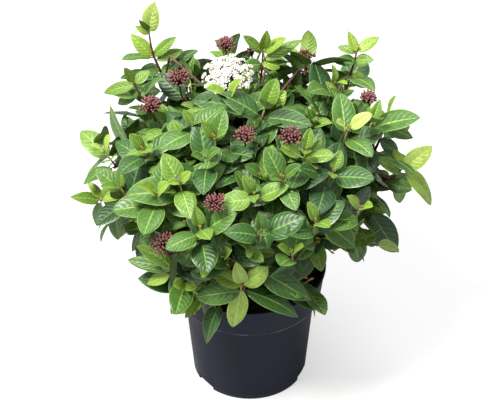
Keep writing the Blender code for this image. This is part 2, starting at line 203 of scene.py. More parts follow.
# Places in the photograph's pixels: flower heads and bud clusters with their width across,
# and bright young rosettes with the tint of their top leaves.
FLOWER_PIXELS = ((228, 73, 46),)
BUD_PIXELS = (
    (225.8, 41, 18), (178, 75, 20), (150.5, 102, 19), (245, 132, 18), (291, 133, 20), (215.5, 200, 19),
    (163.5, 241, 23), (307.5, 50, 16), (368.5, 94, 15), (252, 46, 9), (137.6, 73, 7),
)
ROSETTE_PIXELS = (
    (229, 98, LIME), (254, 194, FRESH), (193, 125, FRESH), (333, 84, LIME), (105, 152, PALE),
    (214, 138, FRESH), (348, 130, PALE), (180, 182, LIME), (316, 222, FRESH), (360, 208, LIME),
    (120, 187, FRESH), (156, 194, LIME), (143, 150, FRESH), (333, 172, FRESH), (292, 252, FRESH),
    (265, 108, FRESH), (372, 122, FRESH), (205, 158, FULL), (283, 178, FULL), (200, 228, FRESH),
    (262, 232, FULL), (306, 150, FRESH),
)

# Where the photograph looks past the leaves, in its pixels, each with a radius.
OPEN_PIXELS = (
    (347, 276, 19), (380, 264, 15), (327, 107, 7), (309, 97, 4), (357, 141, 6), (398, 146, 8), (371, 194, 6),
    (374, 226, 8), (140, 145, 5), (152, 298, 13), (128, 258, 7), (309, 284, 13), (400, 235, 9), (110, 245, 9),
    (191, 25, 18), (118, 120, 5), (329, 262, 12), (322, 292, 8), (382, 76, 10), (92, 128, 9), (320, 38, 8),
    (330, 248, 8), (165, 302, 9), (322, 51, 9), (335, 38, 6), (374, 82, 9), (340, 268, 12),
)

# Where the low front shoot's own leaves are seen, and the depth before which others hide them.
FRONT_PIXELS = (
    (224, 278, 14), (257, 276, 14), (237, 270, 11), (218, 297, 13), (272, 306, 16), (237, 312, 13),
)
FRONT_DEPTH = -0.06

# Where shoots of the crown's surface make room: round the low front shoot's leaves, past the
# edge of a flower head or bud cluster, round a rosette and round a drawn shoot's tip.
FRONT_CLEAR_PIXELS = ((222, 288, 14), (262, 290, 16), (288, 300, 14), (242, 312, 14))
CLUSTER_CLEARANCE = 4.0
ROSETTE_CLEARANCE = 13.0
DRAWN_CLEARANCE = 22.0

# Shoots that stand out in the photograph: how far behind the pot's axis, the stem's pixels
# from its tip down, and each leaf's base and tip pixels, its width in pixels and its tint.
DRAWN_SHOOTS = {
    "tall_shoot": (0.070, ((149, 33), (151, 46), (154, 57), (158, 66), (163, 77)), (
        (149, 31, 155, 2, 18, PALE), (150, 30, 139, 20, 6, FULL), (149, 33, 135, 26, 8, LIME),
        (152, 56, 131, 34, 14, LIME), (154, 56, 176, 37, 11, FRESH), (157, 60, 183, 50, 11, FRESH),
        (159, 68, 140, 72, 14, FULL), (161, 71, 181, 70, 14, FULL),
    )),
    "left_upper_shoot": (0.025, ((133, 82), (137, 90), (142, 97), (150, 106)), (
        (133, 81, 124, 68, 10, LIME), (134, 84, 104, 93, 12, FRESH), (135, 83, 150, 71, 13, FRESH),
        (138, 92, 118, 104, 13, FULL), (140, 94, 160, 90, 14, FULL),
    )),
    "top_shoot": (0.050, ((263, 50), (262, 70), (260, 88), (259, 100)), (
        (263, 49, 267, 30, 11, LIME), (264, 52, 286, 38, 12, LIME), (262, 52, 243, 36, 12, FRESH),
        (265, 60, 302, 40, 12, FRESH), (262, 62, 280, 68, 14, LIME), (261, 64, 244, 66, 13, FULL),
        (261, 80, 284, 86, 15, FULL), (260, 82, 242, 92, 15, MATURE),
    )),
    "upper_right_shoot": (0.065, ((357, 51), (354, 63), (350, 76), (346, 90)), (
        (356, 51, 348, 31, 10, LIME), (358, 51, 379, 37, 12, LIME), (356, 53, 338, 47, 9, FRESH),
        (355, 60, 334, 62, 12, FULL), (356, 60, 374, 60, 12, FRESH), (352, 74, 333, 84, 15, FULL),
        (353, 74, 366, 88, 14, LIME),
    )),
    "right_upper_shoot": (0.005, ((387, 117), (384, 128), (380, 139), (375, 150)), (
        (387, 116, 396, 96, 13, LIME), (388, 118, 411, 124, 14, FRESH), (386, 118, 366, 110, 13, LIME),
        (385, 126, 413, 138, 15, FULL), (384, 127, 362, 134, 15, FRESH), (380, 140, 398, 156, 15, MATURE),
    )),
    "right_shoot": (-0.020, ((404, 167), (395, 176), (384, 184), (370, 191)), (
        (405, 168, 432, 146, 19, PALE), (405, 171, 431, 205, 20, LIME), (403, 167, 394, 149, 10, LIME),
        (400, 172, 374, 158, 14, FRESH), (398, 176, 400, 203, 15, FRESH), (388, 183, 412, 190, 15, FULL),
        (372, 214, 396, 252, 26, DARK), (352, 226, 358, 262, 20, MATURE),
    )),
    "left_shoot": (-0.045, ((101, 200), (110, 203), (118, 205), (127, 206)), (
        (99, 200, 70, 197, 13, FRESH), (102, 198, 88, 182, 9, LIME), (103, 198, 120, 178, 13, LIME),
        (101, 203, 97, 226, 13, FULL), (110, 204, 128, 190, 14, FRESH), (114, 207, 118, 240, 17, FULL),
    )),
    "low_left_shoot": (-0.116, ((171, 274), (174, 266), (178, 258)), (
        (169, 275, 147, 284, 13, LIME), (172, 272, 160, 258, 10, FRESH), (170, 268, 128, 260, 15, FULL),
        (173, 270, 192, 262, 14, FRESH), (174, 276, 188, 308, 21, FULL), (172, 264, 136, 246, 15, FRESH),
    )),
    "low_front_shoot": (-0.142, ((242, 284), (246, 278), (250, 262)), (
        (241, 285, 212, 271, 17, LIME), (244, 285, 268, 267, 19, LIME), (242, 283, 236, 262, 14, LIME),
        (240, 291, 197, 297, 22, FULL), (246, 291, 298, 317, 26, MATURE), (241, 290, 233, 327, 20, LIME),
        (262, 272, 311, 300, 24, MATURE),
    )),
}

# Directions square to a line: a helper, another for a line near upright, and how near
STRAND_HELPERS = ((0.3, 0.2, 1.0), (1.0, 0.1, 0.0), 0.9)
LEAF_HELPERS = ((0.31, 0.17, 0.93), (1.0, 0.2, 0.0), 0.95)
FLOWER_HELPERS = ((0.3, 0.9, 0.2), (0.3, 0.9, 0.2), 1.0)
LIMB_HELPERS = ((1.0, 0.3, 0.1), (1.0, 0.3, 0.1), 1.0)

# Studio: the floor's reach and grey, what the camera sees added to the floor's glow and to the
# surround, with their levels, and each lamp's name, place, aim, size, power and colour
FLOOR_REACH = 6.0
FLOOR_GREY = 0.55
FLOOR_GLOW = (0.52, 0.03)
SURROUND = (0.60, 0.40)
LAMPS = (
    ("key", (-0.9, -0.9, 2.3), (0, 0, 0.28), 0.7, 82.0, (1.0, 0.98, 0.94)),
    ("top", (0.3, 0.5, 2.2), (0, 0, 0.3), 1.2, 22.0, (1.0, 1.0, 1.0)),
)


def unit(vector):
    """The vector at length one."""
    return vector / max(np.linalg.norm(vector), 1e-9)


def linear(colour):
    """A display colour of 0 to 255 as linear light with full alpha."""
    share = [channel / 255 for channel in colour]
    return (*[c / 12.92 if c <= 0.04045 else ((c + 0.055) / 1.055) ** 2.4 for c in share], 1.0)


# The camera's own axes and how a pixel of the photograph becomes a point in space.
pitch = math.radians(CAMERA_PITCH)
AHEAD = np.array((0.0, math.cos(pitch), -math.sin(pitch)))
SIDE = np.array((1.0, 0.0, 0.0))
OVER = np.array((0.0, math.sin(pitch), math.cos(pitch)))
EYE = AIM - AHEAD * CAMERA_DISTANCE


def sight(px, py):
    """The line of sight through a pixel, with a depth of one."""
    across = SIDE * (px - PHOTO_WIDTH / 2) / FOCAL_PIXELS
    down = OVER * (py - PHOTO_HEIGHT / 2) / FOCAL_PIXELS
    return AHEAD + across - down


def depth_of(point):
    """How far a point lies ahead of the camera."""
    return float((point - EYE) @ AHEAD)


def pixel_of(point):
    """The pixel that shows a point."""
    offset = point - EYE
    depth = offset @ AHEAD
    return np.array((
        PHOTO_WIDTH / 2 + FOCAL_PIXELS * (offset @ SIDE) / depth,
        PHOTO_HEIGHT / 2 - FOCAL_PIXELS * (offset @ OVER) / depth,
    ))


def at_depth_y(px, py, y):
    """The point seen at a pixel, at a distance y behind the pot's axis."""
    line = sight(px, py)
    return EYE + line * ((y - EYE[1]) / line[1])


def within_any(px, py, places):
    """Whether a pixel lies within the radius of any of the places."""
    return any(math.hypot(px - x, py - y) < reach for x, y, reach in places)


def in_open_place(point):
    """Whether a point would close a gap that the photograph shows, or hide the low front shoot."""
    px, py = pixel_of(point)
    hides = point[1] < FRONT_DEPTH and within_any(px, py, FRONT_PIXELS)
    return hides or within_any(px, py, OPEN_PIXELS)


def on_crown(px, py, proud=0.0):
    """The point of the crown's rounded outline seen at a pixel, or nearest to it."""
    line = sight(px, py)
    radii = CROWN_RADII + proud
    start = (EYE - CROWN_CENTRE) / radii
    run = line / radii
    a = run @ run
    b = 2 * start @ run
    c = start @ start - 1
    inside = max(b * b - 4 * a * c, 0.0)
    return EYE + line * ((-b - math.sqrt(inside)) / (2 * a))


def square_to(axis, helpers):
    """A direction square to an axis, of any length."""
    level, upright, steep = helpers
    return np.cross(axis, level if abs(axis[2]) < steep else upright)


def axes_round(axis, helpers):
    """Two directions at length one, square to an axis and to each other."""
    across = unit(square_to(axis, helpers))
    return across, np.cross(axis, across)


def frames_along(line, helpers):
    """Each point of a line with two directions square to the line there."""
    across = None
    for k, centre in enumerate(line):
        run = unit(line[min(k + 1, len(line) - 1)] - line[max(k - 1, 0)])
        across = square_to(run, helpers) if across is None else across
        across = unit(across - run * (across @ run))
        yield centre, across, np.cross(run, across)


# Objects
def linked(name, data):
    """A new object with its data, linked to the scene."""
    thing = bpy.data.objects.new(name, data)
    bpy.context.scene.collection.objects.link(thing)
    return thing


def from_builder(name, builder):
    """A new object with the mesh of a bmesh, which is freed."""
    mesh = bpy.data.meshes.new(name)
    builder.to_mesh(mesh)
    builder.free()
    return linked(name, mesh)


def mesh_object(name, points, faces, uv, slots, materials):
    """One joined mesh with its map for the patterns and its materials."""
    mesh = bpy.data.meshes.new(name)
    mesh.from_pydata(points, [], faces)
    for material in materials:
        mesh.materials.append(material)
    mesh.polygons.foreach_set("material_index", np.asarray(slots, np.int32))
    layer = mesh.uv_layers.new(name=BAKE_MAP)
    layer.data.foreach_set("uv", np.asarray(uv, np.float32).ravel())
    mesh.shade_smooth()
    mesh.update()
    return linked(name, mesh)


class Leaves:
    """Rows of leaf blades, turned into one joined mesh."""

    def __init__(self):
        self.rows = []

    def add(self, base, tip, normal, width, tint, rng, fold, arch, fine=True):
        """One blade from its base to its tip, its upper face towards the normal."""
        wave = rng.uniform(*WAVE)
        tip = np.clip(tip, np.array(cad_low) - PROUD, np.array(cad_high) + PROUD)
        self.rows.append((
            *base, *tip, *normal, width, tint,
            fold * rng.uniform(*FOLD_SHARE),
            rng.uniform(*RECURVE),
            arch + rng.uniform(-ARCH_SPREAD, ARCH_SPREAD),
            wave,
            rng.uniform(0, 2 * math.pi),
            rng.uniform(-TWIST, TWIST),
            rng.uniform(*BASE_ROUNDNESS),
            rng.uniform(*TIP_ROUNDNESS),
            1.0 if fine else 0.0,
        ))

    def build(self, name, materials):
        """The joined mesh of every row."""
        rows = np.array(self.rows)
        points, faces, uvs, slots = [], [], [], []
        start = 0
        for fine, across, along in ((1.0, FINE_ACROSS, FINE_ALONG), (0.0, COARSE_ACROSS, COARSE_ALONG)):
            batch = rows[rows[:, -1] == fine]
            if not len(batch):
                continue
            grid = blade_points(batch, np.array(across), np.array(along))
            count, stations, columns, _ = grid.shape
            index = np.arange(count * stations * columns).reshape(count, stations, columns) + start
            quads = np.stack((index[:, :-1, :-1], index[:, :-1, 1:], index[:, 1:, 1:], index[:, 1:, :-1]), -1)
            tint = batch[:, 10].astype(int)
            u, v = np.meshgrid((np.array(across) + 1) / 2, np.array(along))
            u = CELL_MARGIN + (1 - 2 * CELL_MARGIN) * u
            v = CELL_MARGIN + (1 - 2 * CELL_MARGIN) * v
            cell_u = (tint % ATLAS_COLUMNS)[:, None, None] + u[None]
            cell_v = (tint // ATLAS_COLUMNS)[:, None, None] + v[None]
            cells = np.stack((cell_u / ATLAS_COLUMNS, cell_v / ATLAS_ROWS), -1).reshape(-1, 2)
            flat = quads.reshape(-1, 4)
            points.append(grid.reshape(-1, 3))
            faces.append(flat)
            uvs.append(cells[flat.ravel() - start])
            slots.append(np.repeat(tint, (stations - 1) * (columns - 1)))
            start += count * stations * columns
        return mesh_object(
            name,
            np.concatenate(points).tolist(),
            np.concatenate(faces).tolist(),
            np.concatenate(uvs),
            np.concatenate(slots),
            materials,
        )


FINE_ACROSS = (-1.0, -0.90, -0.62, -0.30, 0.0, 0.30, 0.62, 0.90, 1.0)
FINE_ALONG = (0.0, 0.05, 0.13, 0.23, 0.34, 0.46, 0.58, 0.70, 0.81, 0.91, 0.97, 1.0)
COARSE_ACROSS = (-1.0, -0.5, 0.0, 0.5, 1.0)
COARSE_ALONG = (0.0, 0.10, 0.28, 0.50, 0.72, 0.90, 1.0)


def blade_points(rows, across, along):
    """Every blade's grid of points: an oval outline, folded at the midrib, arched and waved."""
    width = rows[:, 9][:, None, None]
    fold, recurve, arch, wave, phase, twist, low, high = (
        rows[:, k][:, None, None] for k in range(11, 19)
    )
    s = across[None, None, :]
    t = along[None, :, None]
    peak = low / (low + high)
    outline = (t ** low * (1 - t) ** high) / (peak ** low * (1 - peak) ** high)
    half = width / 2 * np.maximum(outline, 0.05)
    bend = np.where(np.abs(arch) < 0.02, 0.02, arch)
    angle = bend * (t - 0.5)
    chord = 2 * np.sin(bend / 2) / bend
    run = (np.sin(angle) + np.sin(bend / 2)) / bend / chord
    rise = (np.cos(angle) - np.cos(bend / 2)) / bend / chord
    base = rows[:, 0:3][:, None, None, :]
    tip = rows[:, 3:6][:, None, None, :]
    length = np.linalg.norm(tip - base, axis=-1, keepdims=True)
    ahead = (tip - base) / length
    normal = rows[:, 6:9][:, None, None, :]
    over = normal - (normal * ahead).sum(-1, keepdims=True) * ahead
    over = over / np.maximum(np.linalg.norm(over, axis=-1, keepdims=True), 1e-6)
    side = np.cross(ahead, over)
    size = length[..., 0]
    lift = half * (fold * np.abs(s) - recurve * np.abs(s) ** 3)
    lift = lift + wave * half * np.abs(s) ** 1.5 * np.sin(9.0 * t + phase + 1.7 * np.sign(s))
    lean = twist * (t - 0.3)
    x = s * half * np.cos(lean) * (1 - 0.35 * fold ** 2)
    lift = lift + s * half * np.sin(lean)
    y = run * size + lift * np.sin(angle)
    z = rise * size + lift * np.cos(angle)
    x, y, z = np.broadcast_arrays(x, y, z)
    return base + side * x[..., None] + ahead * y[..., None] + over * z[..., None]


class Strands:
    """Twigs, stalks, buds and florets, joined into one mesh."""

    def __init__(self):
        self.points, self.faces, self.uvs, self.slots = [], [], [], []

    def ring(self, centre, radius, across, other, sides):
        """A ring of points round a centre."""
        for j in range(sides):
            turn = 2 * math.pi * j / sides
            self.points.append(centre + radius * (across * math.cos(turn) + other * math.sin(turn)))

    def face(self, corners, places, slot):
        """One face with its corners' places in the map."""
        self.faces.append(corners)
        self.uvs += places
        self.slots.append(slot)

    def quad(self, low, j, sides, bottom, top, slot):
        """One face between two rings of points, the first of which starts at low."""
        after = (j + 1) % sides
        left, right = j / sides, (j + 1) / sides
        self.face(
            (low + j, low + after, low + sides + after, low + sides + j),
            [(left, bottom), (right, bottom), (right, top), (left, top)],
            slot,
        )

    def tube(self, line, radii, sides, slot):
        """One strand along its line, closed at both ends."""
        line = np.asarray(line, float)
        spans = len(line) - 1
        radii = np.interp(np.linspace(0, 1, spans + 1), np.linspace(0, 1, len(radii)), radii)
        start = len(self.points)
        for (centre, across, other), radius in zip(frames_along(line, STRAND_HELPERS), radii):
            self.ring(centre, radius, across, other, sides)
        for k in range(spans):
            for j in range(sides):
                self.quad(start + k * sides, j, sides, k / spans, (k + 1) / spans, slot)
        last = start + spans * sides
        self.face(tuple(reversed(range(start, start + sides))), [(0.5, 0.02)] * sides, slot)
        self.face(tuple(range(last, last + sides)), [(0.5, 0.98)] * sides, slot)

    def blob(self, centre, axis, half_length, half_width, slot, rings=4, sides=6, taper=0.0):
        """One small closed egg shape."""
        axis = unit(np.asarray(axis, float))
        across, other = axes_round(axis, STRAND_HELPERS)
        start = len(self.points)
        self.points.append(centre - axis * half_length)
        for k in range(rings):
            angle = math.pi * (k + 1) / (rings + 1)
            radius = half_width * math.sin(angle) * (1 + taper * math.cos(angle))
            self.ring(centre - axis * half_length * math.cos(angle), radius, across, other, sides)
        last = len(self.points)
        self.points.append(centre + axis * half_length)
        low, high = start + 1, last - sides
        for j in range(sides):
            after = (j + 1) % sides
            left, right = j / sides, (j + 1) / sides
            self.face((start, low + after, low + j), [(0.5, 0.0), (right, 0.2), (left, 0.2)], slot)
            for k in range(rings - 1):
                self.quad(low + k * sides, j, sides, (k + 1) / (rings + 1), (k + 2) / (rings + 1), slot)
            self.face((high + j, high + after, last), [(left, 0.8), (right, 0.8), (0.5, 1.0)], slot)

    def floret(self, centre, axis, radius, turn, slot):
        """An open flower of rounded lobes, cupped a little."""
        axis = unit(axis)
        across, other = axes_round(axis, FLOWER_HELPERS)
        places = [(0.5 + degrees / 60, share) for share, degrees in LOBE_OUTLINE]
        for lobe in range(LOBES):
            start = len(self.points)
            for share, degrees in LOBE_OUTLINE:
                angle = turn + lobe * 2 * math.pi / LOBES + math.radians(degrees)
                out = across * math.cos(angle) + other * math.sin(angle)
                cup = 0.30 * share - 0.42 * share ** 3
                self.points.append(centre + radius * (out * share + axis * cup))
            self.face(tuple(range(start, len(self.points))), places, slot)

    def build(self, name, materials):
        """The joined mesh, each material's pattern in its own column of the map."""
        uv = np.array(self.uvs, float)
        slot = np.repeat(self.slots, [len(face) for face in self.faces])
        uv[:, 0] = (slot + CELL_MARGIN + (1 - 2 * CELL_MARGIN) * uv[:, 0]) / STRAND_COLUMNS
        return mesh_object(name, [tuple(p) for p in self.points], self.faces, uv, self.slots, materials)


def bezier(start, start_run, end, end_run, count):
    """Points on a smooth line that leaves and arrives along the given runs."""
    t = np.linspace(0, 1, count)[:, None]
    a, b = start + start_run, end - end_run
    return (1 - t) ** 3 * start + 3 * t * (1 - t) ** 2 * a + 3 * t ** 2 * (1 - t) * b + t ** 3 * end


# Shader nodes
def plug(tree, made, inputs):
    """Joins each socket to its input of a node, and sets each plain value there."""
    for key, value in inputs.items() if isinstance(inputs, dict) else enumerate(inputs):
        if isinstance(value, bpy.types.NodeSocket):
            tree.links.new(value, made.inputs[key])
        else:
            made.inputs[key].default_value = value


def node(tree, kind, inputs=(), **settings):
    """A node with its settings, its inputs given as sockets or values."""
    made = tree.nodes.new(kind)
    for key, value in settings.items():
        setattr(made, key, value)
    plug(tree, made, inputs)
    return made


def maths(tree, operation, *values):
    """The result of one piece of arithmetic."""
    return node(tree, "ShaderNodeMath", values, operation=operation).outputs[0]


def smooth_range(tree, value, low, high, start=0.0, end=1.0):
    """A smooth step of a value from one level to another."""
    inputs = (value, low, high, start, end)
    return node(tree, "ShaderNodeMapRange", inputs, interpolation_type="SMOOTHSTEP").outputs[0]


def blend_colour(tree, share, first, second, mode="MIX"):
    """Two colours mixed by a share."""
    inputs = {0: share, 6: first, 7: second}
    return node(tree, "ShaderNodeMix", inputs, data_type="RGBA", blend_type=mode).outputs[2]


def tools(tree):
    """The arithmetic, smooth step and colour mix of one tree."""
    return partial(maths, tree), partial(smooth_range, tree), partial(blend_colour, tree)


def noise_over(tree, place, scale, detail=4.0, roughness=0.5):
    """Noise over a place."""
    inputs = {"Vector": place, "Scale": scale, "Detail": detail, "Roughness": roughness}
    return node(tree, "ShaderNodeTexNoise", inputs).outputs[0]


def object_place(tree):
    """The object's own coordinates."""
    return node(tree, "ShaderNodeTexCoord").outputs["Object"]


def map_parts(tree):
    """The two coordinates of the map for the patterns."""
    place = node(tree, "ShaderNodeUVMap", uv_map=BAKE_MAP).outputs[0]
    return node(tree, "ShaderNodeSeparateXYZ", (place,)).outputs[:2]


def new_group(name, inputs, outputs):
    """A shader node group with named inputs and outputs, and its two end nodes."""
    group = bpy.data.node_groups.new(name, "ShaderNodeTree")
    for label, kind, value in inputs:
        socket = group.interface.new_socket(label, in_out="INPUT", socket_type=kind)
        socket.default_value = value
    for label, kind in outputs:
        group.interface.new_socket(label, in_out="OUTPUT", socket_type=kind)
    return group, group.nodes.new("NodeGroupInput"), group.nodes.new("NodeGroupOutput")


COLOUR = "NodeSocketColor"
NUMBER = "NodeSocketFloat"


@cache
def leaf_group():
    """Blade, midrib, side veins and margin over one cell of the leaves' map."""
    group, entry, leave = new_group(
        "leaf_pattern",
        (
            ("Blade", COLOUR, (0.1, 0.2, 0.05, 1)),
            ("Rib", COLOUR, (0.3, 0.4, 0.2, 1)),
            ("Margin", COLOUR, (0.3, 0.4, 0.2, 1)),
            ("Vein Strength", NUMBER, 0.3),
        ),
        (("Colour", COLOUR), ("Height", NUMBER), ("Roughness", NUMBER)),
    )
    calc, smooth, blend = tools(group)
    local = []
    for part, cells in zip(map_parts(group), (ATLAS_COLUMNS, ATLAS_ROWS)):
        share = calc("FRACT", calc("MULTIPLY", part, float(cells)))
        local.append(calc("DIVIDE", calc("SUBTRACT", share, CELL_MARGIN), 1 - 2 * CELL_MARGIN))
    u, v = local
    s = calc("ABSOLUTE", calc("SUBTRACT", calc("MULTIPLY", u, 2.0), 1.0))
    rib = smooth(s, 0.025, 0.095, 1.0, 0.0)
    slant = calc("SUBTRACT", v, calc("MULTIPLY", calc("POWER", s, 1.25), 0.27))
    phase = calc("FRACT", calc("ADD", calc("MULTIPLY", slant, 7.0), 7.3))
    near = calc("ABSOLUTE", calc("SUBTRACT", calc("MULTIPLY", phase, 2.0), 1.0))
    fade = smooth(s, 0.70, 0.96, 1.0, 0.0)
    vein = calc("MULTIPLY", smooth(near, 0.80, 0.97), fade)
    bulge = calc("MULTIPLY", calc("SUBTRACT", 1.0, calc("POWER", near, 2.0)), fade)
    place = node(group, "ShaderNodeCombineXYZ", (u, calc("MULTIPLY", v, 1.8), 0.0)).outputs[0]
    mottle = noise_over(group, place, 4.0, 3.0)
    mesh = node(group, "ShaderNodeTexVoronoi", {"Vector": place, "Scale": 13.0}, feature="DISTANCE_TO_EDGE")
    net = smooth(mesh.outputs["Distance"], 0.0, 0.09, 1.0, 0.0)
    margin = smooth(s, 0.90, 0.985)
    rib_colour = entry.outputs["Rib"]
    shade = smooth(mottle, 0.35, 0.70, 0.0, 0.30)
    blade = blend(shade, entry.outputs["Blade"], (0.0, 0.0, 0.0, 1.0), "MULTIPLY")
    blade = blend(calc("MULTIPLY", bulge, 0.10), blade, rib_colour)
    veins = calc("MAXIMUM", vein, calc("MULTIPLY", net, 0.25))
    colour = blend(calc("MULTIPLY", veins, entry.outputs["Vein Strength"]), blade, rib_colour)
    colour = blend(calc("MULTIPLY", rib, 0.80), colour, rib_colour)
    colour = blend(calc("MULTIPLY", margin, 0.75), colour, entry.outputs["Margin"])
    height = calc("MULTIPLY", bulge, 0.7)
    for mark, depth in ((rib, 0.9), (vein, 0.35), (net, 0.06)):
        height = calc("SUBTRACT", height, calc("MULTIPLY", mark, depth))
    rough = calc("ADD", calc("MULTIPLY", mottle, 0.16), 0.30)
    plug(group, leave, {"Colour": colour, "Height": height, "Roughness": rough})
    return group


@cache
def strand_group():
    """Lengthwise streaks over one column of the strands' map."""
    group, entry, leave = new_group(
        "stalk_grain",
        (("Low", COLOUR, (0.1, 0.05, 0.04, 1)), ("High", COLOUR, (0.2, 0.1, 0.08, 1))),
        (("Colour", COLOUR), ("Height", NUMBER)),
    )
    calc, smooth, blend = tools(group)
    u, v = map_parts(group)
    u = calc("FRACT", calc("MULTIPLY", u, float(STRAND_COLUMNS)))
    place = (calc("MULTIPLY", u, 7.0), calc("MULTIPLY", v, 5.0), 0.0)
    grain = noise_over(group, node(group, "ShaderNodeCombineXYZ", place).outputs[0], 2.0)
    colour = blend(smooth(grain, 0.3, 0.7), entry.outputs["Low"], entry.outputs["High"])
    plug(group, leave, {"Colour": colour, "Height": grain})
    return group


ROUGH_NUMBERS = (
    "Coarse Scale", "Coarse Roughness", "Coarse Low", "Coarse High",
    "Fine Scale", "Fine Low", "Fine High", "Fleck Share", "Fine Relief",
)


@cache
def rough_group():
    """Coarse grain between two colours with fine flecks of a third, over the object."""
    group, entry, leave = new_group(
        "rough_grain",
        (
            ("Low", COLOUR, (0.03, 0.02, 0.01, 1)),
            ("High", COLOUR, (0.2, 0.1, 0.08, 1)),
            ("Fleck", COLOUR, (0.3, 0.2, 0.1, 1)),
            *[(label, NUMBER, 0.5) for label in ROUGH_NUMBERS],
        ),
        (("Colour", COLOUR), ("Height", NUMBER)),
    )
    calc, smooth, blend = tools(group)
    given = entry.outputs
    coarse = noise_over(group, object_place(group), given["Coarse Scale"], 6.0, given["Coarse Roughness"])
    fine = noise_over(group, object_place(group), given["Fine Scale"], 3.0)
    share = smooth(coarse, given["Coarse Low"], given["Coarse High"])
    flecks = smooth(fine, given["Fine Low"], given["Fine High"], 0.0, given["Fleck Share"])
    colour = blend(flecks, blend(share, given["Low"], given["High"]), given["Fleck"])
    height = calc("ADD", coarse, calc("MULTIPLY", fine, given["Fine Relief"]))
    plug(group, leave, {"Colour": colour, "Height": height})
    return group


@cache
def petal_group():
    """A soft change of shade from a petal's middle or a bud's foot outward."""
    group, entry, leave = new_group(
        "petal_shade",
        (("Middle", COLOUR, (0.5, 0.5, 0.4, 1)), ("Edge", COLOUR, (0.8, 0.8, 0.8, 1))),
        (("Colour", COLOUR),),
    )
    share = smooth_range(group, map_parts(group)[1], 0.0, 0.9)
    colour = blend_colour(group, share, entry.outputs["Middle"], entry.outputs["Edge"])
    plug(group, leave, {"Colour": colour})
    return group


def principled(name):
    """A new material, its tree and its Principled node."""
    material = bpy.data.materials.new(name)
    material.use_nodes = True
    return material, material.node_tree, material.node_tree.nodes["Principled BSDF"]


def placed(tree, group, values):
    """The outputs of a group placed in a material with its own values."""
    return node(tree, "ShaderNodeGroup", values, node_tree=group).outputs


def relief(tree, height, strength, distance):
    """The normals of a surface in relief by a height."""
    inputs = {"Strength": strength, "Distance": distance, "Height": height}
    return node(tree, "ShaderNodeBump", inputs).outputs[0]


def leaf_material(index):
    """The glossy material of one tint of leaf, paler on its back."""
    name, blade, rib, margin = LEAF_TINTS[index]
    material, tree, shader = principled(name)
    values = {"Blade": linear(blade), "Rib": linear(rib), "Margin": linear(margin)}
    leaf = placed(tree, leaf_group(), {**values, "Vein Strength": 0.09 + 0.025 * index})
    back = node(tree, "ShaderNodeNewGeometry").outputs["Backfacing"]
    pale = blend_colour(tree, 0.45, leaf["Colour"], linear(LEAF_BACK))
    plug(tree, shader, {
        "Base Color": blend_colour(tree, back, leaf["Colour"], pale),
        "Roughness": leaf["Roughness"],
        "Normal": relief(tree, leaf["Height"], 0.55, 0.0011),
        "Coat Weight": 0.12,
        "Coat Roughness": 0.25,
    })
    return material


def grained_material(name, group, values, roughness, strength, distance):
    """A material whose colour and relief come from one group."""
    material, tree, shader = principled(name)
    grain = placed(tree, group, values)
    plug(tree, shader, {
        "Base Color": grain["Colour"],
        "Roughness": roughness,
        "Normal": relief(tree, grain["Height"], strength, distance),
    })
    return material


def strand_material(name, low, high, roughness):
    """A material for twigs and stalks."""
    values = {"Low": linear(low), "High": linear(high)}
    return grained_material(name, strand_group(), values, roughness, 0.3, 0.0004)


def rough_material(name, colours, numbers, roughness, strength, distance):
    """A rough natural surface with its own colours and grain."""
    values = dict(zip(("Low", "High", "Fleck"), map(linear, colours)))
    values.update(zip(ROUGH_NUMBERS, numbers))
    return grained_material(name, rough_group(), values, roughness, strength, distance)


def bark_material():
    """Rough brown bark with paler flecks."""
    colours = ((58, 40, 32), (128, 96, 76), (160, 134, 108))
    numbers = (160.0, 0.65, 0.32, 0.68, 900.0, 0.62, 0.72, 0.5, 0.3)
    return rough_material("bark", colours, numbers, 0.8, 0.7, 0.0012)


def peat_material():
    """Dark crumbly peat with a few red-brown flecks."""
    colours = ((28, 20, 17), (72, 48, 34), (112, 74, 50))
    numbers = (130.0, 0.6, 0.35, 0.70, 620.0, 0.60, 0.72, 0.7, 0.4)
    return rough_material("peat", colours, numbers, 0.95, 0.8, 0.0016)


def pot_material():
    """Slate-blue satin plastic with faint scuffs, a painted highlight as a pale line along the collar's lower
    edge, and dust at its foot.
    """
    material, tree, shader = principled("pot_plastic")
    calc, smooth, blend = tools(tree)
    place = object_place(tree)
    height = node(tree, "ShaderNodeSeparateXYZ", (place,)).outputs[2]
    broad = noise_over(tree, place, 14.0, 3.0)
    speck = noise_over(tree, place, 420.0, 4.0, 0.7)
    colour = blend(smooth(broad, 0.3, 0.7), linear((22, 27, 43)), linear((29, 35, 53)))
    drawn_out = node(tree, "ShaderNodeMapping", {"Vector": place, "Scale": (60.0, 60.0, 900.0)}).outputs[0]
    scuff = noise_over(tree, drawn_out, 1.0, 3.0)
    colour = blend(smooth(scuff, 0.62, 0.80, 0.0, 0.10), colour, linear((112, 120, 134)))
    # Painted highlight: a thin pale line along the collar's lower edge, broken into patches by noise.
    off = calc("ABSOLUTE", calc("SUBTRACT", height, POT_HEIGHT - COLLAR_HEIGHT + 0.0007))
    collar_highlight = smooth(off, 0.0004, 0.0017, 1.0, 0.0)
    patchy = smooth(noise_over(tree, place, 75.0), 0.40, 0.60, 0.15, 1.0)
    collar_highlight = calc("MULTIPLY", calc("MULTIPLY", collar_highlight, patchy), 0.55)
    colour = blend(collar_highlight, colour, linear((122, 132, 148)))
    dust = calc("MULTIPLY", smooth(height, 0.0, 0.012, 0.35, 0.0), smooth(speck, 0.4, 0.65))
    plug(tree, shader, {
        "Base Color": blend(dust, colour, linear((96, 98, 100))),
        "Specular IOR Level": 0.16,
        "Roughness": smooth(broad, 0.25, 0.75, 0.42, 0.55),
        "Normal": relief(tree, calc("ADD", speck, calc("MULTIPLY", scuff, 0.5)), 0.10, 0.0005),
    })
    return material


